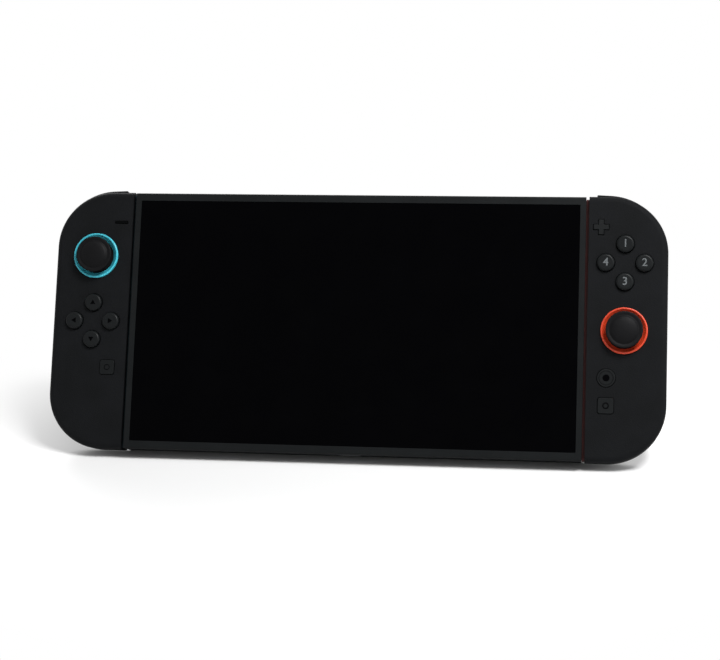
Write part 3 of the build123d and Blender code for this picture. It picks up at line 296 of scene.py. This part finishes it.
class Palette:
    """Every finish, built once and handed out by name."""

    def __init__(self) -> None:
        """Start with nothing built."""
        self.built: dict[str, bpy.types.Material] = {}

    def get(self, finish: Finish) -> bpy.types.Material:
        """Find the Blender material of a finish, built on first use.

        Args:
            finish: The finish wanted.

        Returns:
            Its material.
        """
        if finish.name not in self.built:
            self.built[finish.name] = finish.build()
        return self.built[finish.name]


PALETTE = Palette()


@dataclass
class Standing:
    """How the upright console stands in the frame: its lean and its place."""

    port_depth: float = 6.4
    port_height: float = 0.5

    def matrix(self) -> Matrix:
        """Work out the move from the upright console, in millimetres, to the frame.

        Returns:
            The matrix, read from the lower port's place and direction in the record.
        """
        mounts = {mount["name"]: mount for mount in frame["record"]["mounts"]}
        port = mounts["bottom_charging_port"]
        axis = Vector(port["axis"])
        lean = math.atan2(-axis.y, -axis.z)
        turn = Matrix.Rotation(-lean, 4, "X")
        start = turn @ (Vector((0, self.port_depth, self.port_height)) * MM)
        return Matrix.Translation(Vector(port["pos_m"]) - start) @ turn @ Matrix.Scale(MM, 4)


STAND = Standing().matrix()


def place(x: float, y: float, z: float) -> Vector:
    """Frame place of a point on the upright console, in metres."""
    return STAND @ Vector((x, y, z))


def link_piece(name: str, mesh: bpy.types.Mesh) -> bpy.types.Object:
    """Put a mesh in the scene as one piece, and report it.

    Args:
        name: The piece's name.
        mesh: Its mesh, in place in the frame.

    Returns:
        The piece.
    """
    piece = bpy.data.objects.new(name, mesh)
    bpy.context.scene.collection.objects.link(piece)
    log.info("made %s", name)
    return piece


def finish_mesh(
    name: str,
    points: Sequence[Point],
    faces: Sequence[Sequence[int]],
    finish: Finish,
    edge: Edge = Edge.CRISP,
) -> bpy.types.Object:
    """Make a piece of points on the upright console.

    Args:
        name: The piece's name.
        points: Corners in millimetres.
        faces: Corner numbers of each face.
        finish: The piece's finish.
        edge: How sharply it is shaded.

    Returns:
        The piece, in place in the frame.
    """
    mesh = bpy.data.meshes.new(name)
    mesh.from_pydata([tuple(place(*point)) for point in points], [], [tuple(face) for face in faces])
    mesh.validate()
    mesh.update()
    mesh.materials.append(PALETTE.get(finish))
    mesh.polygons.foreach_set("use_smooth", [True] * len(mesh.polygons))
    mesh.set_sharp_from_angle(angle=math.radians(edge.value))
    return link_piece(name, mesh)


def lathe(
    name: str,
    centre: tuple[float, float],
    profile: Pairs,
    finish: Finish,
    segments: int = 96,
    ripple: Optional[Callable[[float, int], float]] = None,
) -> bpy.types.Object:
    """Turn a profile about a line that runs from the player into the console.

    Args:
        name: The piece's name.
        centre: X and Z of the line.
        profile: Radius and depth of each ring, from one end to the other.
        finish: The piece's finish.
        segments: Steps round the turn.
        ripple: Radius added at an angle, for a ring number.

    Returns:
        The piece.
    """
    points: list[Point] = []
    faces: list[tuple[int, ...]] = []
    for number, (radius, depth) in enumerate(profile):
        for step in range(segments):
            angle = 2 * math.pi * step / segments
            wide = radius + (ripple(angle, number) if ripple else 0.0)
            points.append((centre[0] + wide * math.cos(angle), depth, centre[1] + wide * math.sin(angle)))
    for number in range(len(profile) - 1):
        for step in range(segments):
            after = (step + 1) % segments
            low, high = number * segments, (number + 1) * segments
            faces.append((low + step, low + after, high + after, high + step))
    if profile[0] != profile[-1]:
        faces.append(tuple(reversed(range(segments))))
        last = (len(profile) - 1) * segments
        faces.append(tuple(range(last, last + segments)))
    return finish_mesh(name, points, faces, finish, Edge.SOFT)


def ring_profile(inner: float, outer: float, front: float, back: float) -> list[tuple[float, float]]:
    """Closed profile of a flat ring between two radii and two depths."""
    return [(inner, front), (outer, front), (outer, back), (inner, back), (inner, front)]


def prism(name: str, outline: Pairs, front: float, back: float, finish: Finish) -> bpy.types.Object:
    """Extrude an outline, seen from the player, between two depths.

    Args:
        name: The piece's name.
        outline: X and Z of each corner, anticlockwise.
        front: Depth of the face towards the player.
        back: Depth of the other face.
        finish: The piece's finish.

    Returns:
        The piece.
    """
    count = len(outline)
    points = [(x, front, z) for x, z in outline] + [(x, back, z) for x, z in outline]
    faces: list[tuple[int, ...]] = [tuple(range(count)), tuple(reversed(range(count, 2 * count)))]
    for step in range(count):
        after = (step + 1) % count
        faces.append((after, step, count + step, count + after))
    return finish_mesh(name, points, faces, finish)


def upright_box(x_ends: Sequence[float], z_ends: Sequence[float]) -> list[tuple[float, float]]:
    """Corners of a rectangle, anticlockwise as the player sees them."""
    return [(x_ends[0], z_ends[0]), (x_ends[1], z_ends[0]), (x_ends[1], z_ends[1]), (x_ends[0], z_ends[1])]


def dress(node: str, finish: Finish) -> None:
    """Give a carried-over solid its finish, and report it.

    Args:
        node: The solid's name in the frame.
        finish: Its finish.
    """
    piece = frame["nodes"][node]
    piece.data.materials.clear()
    piece.data.materials.append(PALETTE.get(finish))
    log.info("dressed %s", node)


def fix(piece: bpy.types.Object, body: str) -> None:
    """Make a piece ride on a body."""
    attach(piece, body)


@dataclass
class Stick:
    """Thumb stick of one controller, with the dust seal that closes the ring round its neck."""

    prefix: str
    centre: tuple[float, float]
    cap_front: float = -5.8
    cap_radius: float = 8.0
    neck_radius: float = 3.6
    shaft_radius: float = 2.1
    pivot_depth: float = 6.0
    # Radius and depth behind the cap's front of the domed thumb pad.
    dome: Pairs = (
        (POLE_RADIUS, 0.0), (2.0, 0.06), (3.6, 0.22), (4.8, 0.46), (5.5, 0.72), (5.9, 1.0), (6.1, 1.22),
        (6.4, 1.26),
    )
    # Inset from the cap's rim and depth behind its front of the skirt round the pad.
    skirt: Pairs = ((1.1, 1.08), (0.5, 1.0), (0.2, 1.06), (0.12, 1.15), (0.25, 1.3), (0.9, 1.45))
    # Radius beyond the neck and depth behind the cap's front, where the cap runs into the neck.
    throat: Pairs = ((1.6, 1.8), (0.5, 2.05), (0.0, 2.5))
    knurled_rings: tuple[int, ...] = (9, 10, 11)
    knurl_count: int = 48
    knurl_depth: float = 0.12
    cap_segments: int = 192
    seal_outer: float = 7.6
    seal_inner: float = 5.7
    seal_depth: float = 0.9
    seal_thickness: float = 0.4
    seal_edge_rise: float = 0.1
    seal_lip_inset: float = 0.3
    seal_lip_rise: float = 0.25
    seal_bead_inset: float = 0.4
    seal_bead_rise: float = 0.05

    def build(self) -> None:
        """Make the stick and its seal."""
        self.make_cap()
        self.make_seal()

    def knurl(self, angle: float, ring: int) -> float:
        """Radius that the knurl adds at an angle on a ring."""
        wave = abs(math.cos(self.knurl_count * angle / 2))
        return self.knurl_depth * wave if ring in self.knurled_rings else 0.0

    def make_cap(self) -> None:
        """Make a domed cap with a knurled skirt, on its neck and shaft."""
        front = self.cap_front
        profile = [(radius, front + depth) for radius, depth in self.dome]
        profile += [(self.cap_radius - inset, front + depth) for inset, depth in self.skirt]
        profile += [(self.neck_radius + beyond, front + depth) for beyond, depth in self.throat]
        profile += [
            (self.neck_radius, 0.0),
            (self.shaft_radius, self.neck_radius - self.shaft_radius),
            (self.shaft_radius, self.pivot_depth),
            (POLE_RADIUS, self.pivot_depth),
        ]
        name = self.prefix + "_stick_cap"
        cap = lathe(name, self.centre, profile, STICK_RUBBER, self.cap_segments, self.knurl)
        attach(cap, self.prefix + "_stick")
        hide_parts(self.prefix + "_stick")

    def make_seal(self) -> None:
        """Make the dark dust seal, with a soft lip towards the neck."""
        outer, inner, depth = self.seal_outer, self.seal_inner, self.seal_depth
        middle, back = depth + self.seal_thickness / 2, depth + self.seal_thickness
        profile = [
            (inner, middle),
            (inner, depth - self.seal_edge_rise),
            (inner + self.seal_lip_inset, depth - self.seal_lip_rise),
            (outer - self.seal_bead_inset, depth - self.seal_bead_rise),
            (outer, depth),
            (outer, back),
            (inner, back),
            (inner, middle),
        ]
        seal = lathe(self.prefix + "_stick_seal", self.centre, profile, FOOT_RUBBER)
        fix(seal, self.prefix + "_controller")


@dataclass
class Controller:
    """One detachable controller: its solids' finishes, its stick, its rail trim and its marks."""

    side: Side
    inner_face: float = 101.7
    height: float = 116.0
    stick_place: float = 15.8
    upper_share: float = 0.746
    lower_share: float = 0.491
    cluster_radius: float = 8.3
    button_front: float = -1.7
    small_front: float = -0.4
    mark_proud: float = 0.03
    mark_sink: float = 0.3
    contact_count: int = 9
    contact_pitch: float = 2.1
    contact_half_height: float = 0.6
    contact_tip: float = 6.2
    contact_root: float = 3.6
    contact_proud: float = 0.05
    tongue_front: float = 4.95
    gasket_tip: float = 1.29
    gasket_root: float = 1.2
    gasket_end_gap: float = 1.5
    gasket_depths: Pairs = ((3.4, 4.2), (9.4, 10.2))
    arrow_size: float = 2.0
    arrow_tip_share: float = 0.55
    arrow_tail_share: float = 0.45
    arrow_half_width_share: float = 0.6
    number_size: float = 4.86
    number_half_depth: float = 0.15
    number_swell: float = 0.05
    menu_place: float = 8.5
    home_share: float = 0.314
    home_disc_radius: float = 1.5
    home_rim: tuple[float, float] = (2.9, 3.1)
    extra_share: float = 0.211
    extra_ring: tuple[float, float] = (0.9, 1.4)
    capture_place: float = 8.1
    capture_share: float = 0.313
    capture_ring: tuple[float, float] = (1.0, 1.3)

    @property
    def prefix(self) -> str:
        """First word of the controller's node names."""
        return self.side.name.lower()

    @property
    def accents(self) -> tuple[Finish, Finish]:
        """Finishes of the ring and of the rail; the rail's colour is darkened as painted shade."""
        return (CYAN, CYAN_RAIL_PAINTED_SHADE) if self.side is Side.LEFT else (RED, RED_RAIL_PAINTED_SHADE)

    def across(self, distance: float) -> float:
        """X of a place measured outwards from the inner face."""
        return self.side.value * (self.inner_face + distance)

    def stick_centre(self) -> tuple[float, float]:
        """X and Z of the stick's middle."""
        share = self.upper_share if self.side is Side.LEFT else self.lower_share
        return (self.across(self.stick_place), share * self.height)

    def cluster_centre(self) -> tuple[float, float]:
        """X and Z of the middle of the four round buttons."""
        share = self.lower_share if self.side is Side.LEFT else self.upper_share
        return (self.across(self.stick_place), share * self.height)

    def build(self) -> None:
        """Make every piece of the controller and dress its solids."""
        self.dress_solids()
        Stick(self.prefix, self.stick_centre()).build()
        self.make_contacts()
        self.make_gaskets()
        if self.side is Side.LEFT:
            self.mark_directions()
            self.mark_capture()
        else:
            self.mark_actions()
            self.mark_menu()

    def dress_solids(self) -> None:
        """Give the controller's solids their finishes."""
        ring, rail = self.accents
        finishes = {
            "front_shell": HOUSING, "rear_shell": HOUSING, "rail_plate": rail,
            "stick_ring": ring, "stick_carrier": INNER, "stick_yoke": STEEL, "board": BOARD,
            "battery": BATTERY, "shoulder_button": BUTTON, "trigger": BUTTON, "release_button": BUTTON,
            "lower_rail_button": INNER, "upper_rail_button": INNER,
        }
        if self.side is Side.LEFT:
            finishes |= {"direction_" + way: BUTTON for way in ("up", "right", "down", "left")}
            finishes |= {"minus_button": MINUS_BAR_PAINTED_SHADE, "capture_button": FLUSH_BUTTON}
        else:
            finishes |= {"action_button_%d" % number: BUTTON for number in (1, 2, 3, 4)}
            finishes |= {name: FLUSH_BUTTON for name in ("plus_button", "home_button", "extra_button")}
        for name, finish in finishes.items():
            dress(self.prefix + "_" + name, finish)

    def make_contacts(self) -> None:
        """Plate a row of gold contact pads on the tongue that enters the tablet."""
        x_ends = sorted((self.across(-self.contact_tip), self.across(-self.contact_root)))
        front, back = self.tongue_front - self.contact_proud, self.tongue_front + self.contact_proud
        for number in range(self.contact_count):
            heart = self.height / 2 + (number - (self.contact_count - 1) / 2) * self.contact_pitch
            z_ends = (heart - self.contact_half_height, heart + self.contact_half_height)
            name = "%s_contact_%d" % (self.prefix, number + 1)
            pad = prism(name, upright_box(x_ends, z_ends), front, back, GOLD)
            fix(pad, self.prefix + "_controller")

    def make_gaskets(self) -> None:
        """Stick thin foam strips on the rail, so that no light passes between it and the tablet."""
        x_ends = sorted((self.across(-self.gasket_tip), self.across(-self.gasket_root)))
        z_ends = (self.gasket_end_gap, self.height - self.gasket_end_gap)
        for number, (front, back) in enumerate(self.gasket_depths):
            name = "%s_gasket_%d" % (self.prefix, number)
            strip = prism(name, upright_box(x_ends, z_ends), front, back, FOOT_RUBBER)
            fix(strip, self.prefix + "_controller")

    def fix_to_button(self, piece: bpy.types.Object, button: str) -> None:
        """Fix a mark to the button that carries it."""
        fix(piece, self.prefix + "_" + button)

    def mark_directions(self) -> None:
        """Put a small sunk triangle on each direction button, coloured black as painted shade."""
        size = self.arrow_size
        front, back = self.button_front - self.mark_proud, self.button_front + self.mark_sink
        names = ("direction_right", "direction_up", "direction_left", "direction_down")
        for number, name in enumerate(names):
            angle = number * math.pi / 2
            along = Vector((math.cos(angle), math.sin(angle)))
            half_width = Vector((-along.y, along.x)) * size * self.arrow_half_width_share
            heart = Vector(self.cluster_centre()) + along * self.cluster_radius
            tail = heart - along * size * self.arrow_tail_share
            corners = (heart + along * size * self.arrow_tip_share, tail + half_width, tail - half_width)
            outline = [(corner.x, corner.y) for corner in corners]
            mark = prism("%s_%s_mark" % (self.prefix, name), outline, front, back, SUNK_MARK_PAINTED_SHADE)
            self.fix_to_button(mark, name)

    def mark_actions(self) -> None:
        """Print a plain number on each action button, clockwise from the upper one."""
        steps = (Vector((0, 1)), Vector((1, 0)), Vector((0, -1)), Vector((-1, 0)))
        depth = self.button_front - self.mark_proud + self.number_half_depth
        for number, step in enumerate(steps, start=1):
            heart = Vector(self.cluster_centre()) + step * self.cluster_radius
            mesh = self.number_mesh(number)
            turn = Matrix.Rotation(math.pi / 2, 4, "X")
            mesh.transform(STAND @ Matrix.Translation((heart.x, depth, heart.y)) @ turn)
            mark = link_piece("%s_number_%d" % (self.prefix, number), mesh)
            self.fix_to_button(mark, "action_button_%d" % number)

    def number_mesh(self, number: int) -> bpy.types.Mesh:
        """Cut a number out of a thin sheet of ink.

        Args:
            number: The number shown.

        Returns:
            Its mesh, flat on the XY plane, in millimetres.
        """
        curve = bpy.data.curves.new("number", "FONT")
        curve.body = str(number)
        curve.size = self.number_size
        curve.align_x = "CENTER"
        curve.align_y = "CENTER"
        curve.extrude = self.number_half_depth
        curve.offset = self.number_swell
        holder = bpy.data.objects.new("number", curve)
        bpy.context.scene.collection.objects.link(holder)
        bpy.context.view_layer.update()
        mesh = bpy.data.meshes.new_from_object(holder)
        bpy.data.objects.remove(holder)
        mesh.materials.clear()
        mesh.materials.append(PALETTE.get(INK))
        return mesh

    def sink_mark(self, name: str, button: str, centre: tuple[float, float], profile: Pairs) -> None:
        """Turn a small mark on a button, coloured black as painted shade.

        Args:
            name: The mark's name.
            button: The button that carries it.
            centre: X and Z of its middle.
            profile: Radius and depth of each ring.
        """
        self.fix_to_button(lathe(name, centre, profile, SUNK_MARK_PAINTED_SHADE), button)

    def mark_menu(self) -> None:
        """Put a plain disc in a thin rim on the round menu button, and a ring on the square one, all
        coloured black as painted shade.
        """
        home = (self.across(self.menu_place), self.home_share * self.height)
        extra = (self.across(self.menu_place), self.extra_share * self.height)
        front = self.small_front - self.mark_proud
        back = front + self.mark_sink
        radius = self.home_disc_radius
        disc = [(POLE_RADIUS, front), (radius * 2 / 3, front), (radius, front), (radius, back)]
        self.sink_mark("home_mark", "home_button", home, disc)
        self.sink_mark("home_rim", "home_button", home, ring_profile(*self.home_rim, front, back))
        self.sink_mark("extra_mark", "extra_button", extra, ring_profile(*self.extra_ring, front, back))

    def mark_capture(self) -> None:
        """Put a small sunk ring on the square button below the direction buttons, coloured black as painted
        shade.
        """
        centre = (self.across(self.capture_place), self.capture_share * self.height)
        front = self.small_front - self.mark_proud
        ring = ring_profile(*self.capture_ring, front, front + self.mark_sink)
        self.sink_mark("capture_mark", "capture_button", centre, ring)


@dataclass
class Tablet:
    """The middle of the console: its solids' finishes and the trim on them."""

    back: float = 13.9
    top: float = 115.5
    edge_line: float = 6.4
    screw_place: float = 95.6
    screw_heights: tuple[float, float] = (22.0, 96.0)
    recess_arm: float = 0.95
    recess_width: float = 0.4
    recess_depth: float = 0.3
    recess_proud: float = 0.01
    hinge_depth: float = 12.9
    hinge_height: float = 54.5
    stand_angle: float = 40.0
    foot_half_length: float = 60.0
    foot_low: float = 5.6
    foot_high: float = 8.2
    foot_sunk: float = 0.2
    foot_proud: float = 0.06
    sign_arm: float = 0.7
    sign_half_width: float = 0.16
    sign_level: float = 0.52
    power_place: float = -84.03
    power_mark_depth: float = 0.32
    volume_place: float = -63.95
    volume_sign_step: float = 7.0
    volume_mark_depth: float = 0.3

    def build(self) -> None:
        """Dress the tablet's solids and make its trim."""
        finishes = {
            "tablet_frame": FRAME_PLASTIC, "rear_cover": HOUSING, "kickstand": FRAME_PLASTIC,
            "cover_glass": GLASS, "display_panel": DISPLAY, "mid_plate": ALUMINIUM, "main_board": BOARD,
            "heat_sink": ALUMINIUM, "fan_housing": INNER, "fan_rotor": INNER, "tablet_battery": BATTERY,
            "speakers": INNER, "usb_c_ports": STEEL, "headphone_jack": INNER, "card_slot": STEEL,
            "card_slot_cover": FRAME_PLASTIC, "power_button": BUTTON, "volume_rocker": BUTTON,
            "tablet_fasteners": STEEL,
        }
        for name, finish in finishes.items():
            dress(name, finish)
        self.mark_volume()
        self.mark_power()
        self.recess_screws()
        self.make_foot_pad()

    def make_block(
        self, name: str, low: Point, high: Point, finish: Finish, swing: float = 0.0
    ) -> bpy.types.Object:
        """Make a thin block between two corners, turned about the kickstand's hinge line.

        Args:
            name: The piece's name.
            low: Its lowest corner in millimetres.
            high: Its highest corner in millimetres.
            finish: Its finish.
            swing: Turn about the hinge line in degrees.

        Returns:
            The block.
        """
        turn = math.radians(swing)
        points = []
        for x in (low[0], high[0]):
            for y in (low[1], high[1]):
                for z in (low[2], high[2]):
                    deep, tall = y - self.hinge_depth, z - self.hinge_height
                    points.append((
                        x,
                        self.hinge_depth + deep * math.cos(turn) - tall * math.sin(turn),
                        self.hinge_height + deep * math.sin(turn) + tall * math.cos(turn),
                    ))
        faces = ((0, 1, 3, 2), (4, 6, 7, 5), (0, 4, 5, 1), (2, 3, 7, 6), (0, 2, 6, 4), (1, 5, 7, 3))
        return finish_mesh(name, points, faces, finish)

    def recess_screws(self) -> None:
        """Mark a cross recess in each screw head of the rear cover with a thin black block of painted shade.
        """
        arm, half = self.recess_arm, self.recess_width / 2
        for side in Side:
            x = side.value * self.screw_place
            for height in self.screw_heights:
                for number, (wide, tall) in enumerate(((arm, half), (half, arm))):
                    name = "%s_screw_recess_%d_%d" % (side.name.lower(), round(height), number)
                    low = (x - wide, self.back - self.recess_depth, height - tall)
                    high = (x + wide, self.back + self.recess_proud, height + tall)
                    fix(self.make_block(name, low, high, SUNK_MARK_PAINTED_SHADE), "tablet")

    def make_foot_pad(self) -> None:
        """Lay a soft rubber strip along the back of the kickstand's foot."""
        low = (-self.foot_half_length, self.back - self.foot_sunk, self.foot_low)
        high = (self.foot_half_length, self.back + self.foot_proud, self.foot_high)
        pad = self.make_block("kickstand_foot_pad", low, high, FOOT_RUBBER, self.stand_angle)
        fix(pad, "kickstand")

    def sink_bar(
        self, name: str, button: str, middle: float, halves: tuple[float, float], depth: float
    ) -> None:
        """Sink a plain bar in a button of the top edge, coloured black as painted shade.

        Args:
            name: The bar's name.
            button: The button that carries it.
            middle: X of its middle.
            halves: Half of its length along X and half of its width along Y.
            depth: How deep it is sunk.
        """
        long, wide = halves
        level = self.top + self.sign_level
        low = (middle - long, self.edge_line - wide, level - depth)
        high = (middle + long, self.edge_line + wide, level)
        fix(self.make_block(name, low, high, SUNK_MARK_PAINTED_SHADE), button)

    def mark_power(self) -> None:
        """Sink a plain bar in the power button."""
        halves = (self.sign_arm, self.sign_half_width)
        self.sink_bar("power_mark", "power_button", self.power_place, halves, self.power_mark_depth)

    def mark_volume(self) -> None:
        """Sink a plus and a minus sign in the ends of the volume rocker."""
        flat = (self.sign_arm, self.sign_half_width)
        upright = (self.sign_half_width, self.sign_arm)
        minus = self.volume_place - self.volume_sign_step
        plus = self.volume_place + self.volume_sign_step
        bars = (("minus", minus, flat), ("plus_flat", plus, flat), ("plus_upright", plus, upright))
        for sign, middle, halves in bars:
            self.sink_bar("volume_" + sign, "volume_rocker", middle, halves, self.volume_mark_depth)


@dataclass(frozen=True)
class Softbox:
    """One square softbox: its place and side in metres and its power in watts."""

    name: str
    spot: Point
    side: float
    power: float

    def hang(self, target: Vector) -> None:
        """Hang the softbox in the scene.

        Args:
            target: The point that it faces.
        """
        light = bpy.data.lights.new(self.name, "AREA")
        light.shape = "SQUARE"
        light.size = self.side
        light.energy = self.power
        holder = bpy.data.objects.new(self.name, light)
        holder.location = self.spot
        holder.rotation_euler = (target - Vector(self.spot)).to_track_quat("-Z", "Y").to_euler()
        bpy.context.scene.collection.objects.link(holder)
        log.info("hung %s", self.name)


@dataclass
class Studio:
    """Floor, lights, background and camera."""

    white: str = "#FFFFFF"
    floor_colour: str = "#F7F7F7"
    floor_roughness: float = 0.9
    floor_size: float = 12.0
    floor_fade_start: float = 0.1
    floor_fade_end: float = 0.22
    ambient_strength: float = 0.22
    light_target: Point = (0.0, 0.0, 0.05)
    softboxes: tuple[Softbox, ...] = (
        Softbox("key_softbox", (0.4, -0.35, 0.9), 0.35, 10.5),
        Softbox("right_softbox", (1.2, -0.5, 0.6), 0.7, 3.0),
        Softbox("back_softbox", (-0.5, 1.1, 0.8), 0.8, 14.0),
    )
    camera_spot: Point = (103.66, -748.72, -45.16)
    camera_right: Point = (0.991084, 0.128143, 0.036501)
    camera_ahead: Point = (-0.131880, 0.982489, 0.131617)
    lens_mm: float = 87.0
    sensor_mm: float = 36.0
    farthest: float = 50.0

    def build(self) -> None:
        """Make everything that isn't the console."""
        self.make_floor()
        self.make_world()
        for softbox in self.softboxes:
            softbox.hang(Vector(self.light_target))
        self.make_camera()

    def make_floor(self) -> None:
        """Make the pale floor that the console stands on."""
        half = self.floor_size / 2
        corners = [(-half, -half, 0), (half, -half, 0), (half, half, 0), (-half, half, 0)]
        mesh = bpy.data.meshes.new("floor")
        mesh.from_pydata(corners, [], [(0, 1, 2, 3)])
        mesh.materials.append(self.floor_material())
        link_piece("floor", mesh)

    def floor_material(self) -> bpy.types.Material:
        """Matt white paint that fades to pure white away from the console, where it is seen.

        Returns:
            The floor's material.
        """
        material, tree = empty_tree("floor_white_matt_paint")
        paint = add_node(
            tree,
            "ShaderNodeBsdfPrincipled",
            {
                "Base Color": to_linear(self.floor_colour),
                "Roughness": self.floor_roughness,
                "Specular IOR Level": 0.0,
            },
        )
        white = add_node(tree, "ShaderNodeEmission", {"Color": to_linear(self.white), "Strength": 1.0})
        spot = add_node(tree, "ShaderNodeTexCoord")
        far = add_node(
            tree, "ShaderNodeVectorMath", {"operation": "LENGTH"}, {"Vector": spot.outputs["Object"]}
        )
        fade = add_node(
            tree,
            "ShaderNodeMapRange",
            {
                "interpolation_type": "SMOOTHSTEP",
                "From Min": self.floor_fade_start,
                "From Max": self.floor_fade_end,
            },
            {"Value": far.outputs["Value"]},
        )
        share = add_node(
            tree, "ShaderNodeMath", {"operation": "MULTIPLY"}, {"Value": fade.outputs["Result"]}
        )
        tree.links.new(self.seen_directly(tree), share.inputs[1])
        mixed = add_node(tree, "ShaderNodeMixShader", {}, {"Fac": share.outputs["Value"]})
        tree.links.new(paint.outputs["BSDF"], mixed.inputs[1])
        tree.links.new(white.outputs["Emission"], mixed.inputs[2])
        add_node(tree, "ShaderNodeOutputMaterial", {}, {"Surface": mixed.outputs["Shader"]})
        return material

    def seen_directly(self, tree: bpy.types.NodeTree) -> bpy.types.NodeSocket:
        """Tell rays from the camera, a mirror or a clear body from the rays that only light things.

        Args:
            tree: Node tree of the floor or of the world.

        Returns:
            A socket that is 1 for a ray that shows the background.
        """
        path = add_node(tree, "ShaderNodeLightPath")
        seen = add_node(
            tree, "ShaderNodeMath", {"operation": "ADD"}, {"Value": path.outputs["Is Camera Ray"]}
        )
        tree.links.new(path.outputs["Is Glossy Ray"], seen.inputs[1])
        every = add_node(
            tree, "ShaderNodeMath", {"operation": "ADD", "use_clamp": True}, {"Value": seen.outputs["Value"]}
        )
        tree.links.new(path.outputs["Is Transmission Ray"], every.inputs[1])
        return every.outputs["Value"]

    def make_world(self) -> None:
        """Light the scene softly all round, and show white to the camera, metal and glass."""
        world = bpy.data.worlds.new("studio_white")
        bpy.context.scene.world = world
        world.use_nodes = True
        tree = world.node_tree
        tree.nodes.clear()
        white = to_linear(self.white)
        ambient = add_node(
            tree, "ShaderNodeBackground", {"Color": white, "Strength": self.ambient_strength}
        )
        shown = add_node(tree, "ShaderNodeBackground", {"Color": white, "Strength": 1.0})
        mixed = add_node(tree, "ShaderNodeMixShader", {}, {"Fac": self.seen_directly(tree)})
        tree.links.new(ambient.outputs["Background"], mixed.inputs[1])
        tree.links.new(shown.outputs["Background"], mixed.inputs[2])
        add_node(tree, "ShaderNodeOutputWorld", {}, {"Surface": mixed.outputs["Shader"]})
        log.info("lit the world")

    def make_camera(self) -> None:
        """Set the camera at the photograph's angle and distance."""
        data = bpy.data.cameras.new("camera")
        data.lens = self.lens_mm
        data.sensor_width = self.sensor_mm
        data.clip_end = self.farthest
        camera = bpy.data.objects.new("camera", data)
        turn = STAND.to_3x3().normalized()
        right = (turn @ Vector(self.camera_right)).normalized()
        back = -(turn @ Vector(self.camera_ahead)).normalized()
        up = back.cross(right).normalized()
        rotation = Matrix((right, up, back)).transposed().to_4x4()
        camera.matrix_world = Matrix.Translation(place(*self.camera_spot)) @ rotation
        bpy.context.scene.collection.objects.link(camera)
        bpy.context.scene.camera = camera
        log.info("set the camera")


def main() -> None:
    """Dress the console and set the studio round it."""
    logging.basicConfig(level=logging.INFO, format="%(message)s")
    bpy.context.scene.view_settings.view_transform = "Standard"
    Tablet().build()
    log.info("the tablet is done")
    for side in Side:
        Controller(side).build()
        log.info("the %s controller is done", side.name.lower())
    Studio().build()
    log.info("the studio is done")


if __name__ == "__main__":
    main()
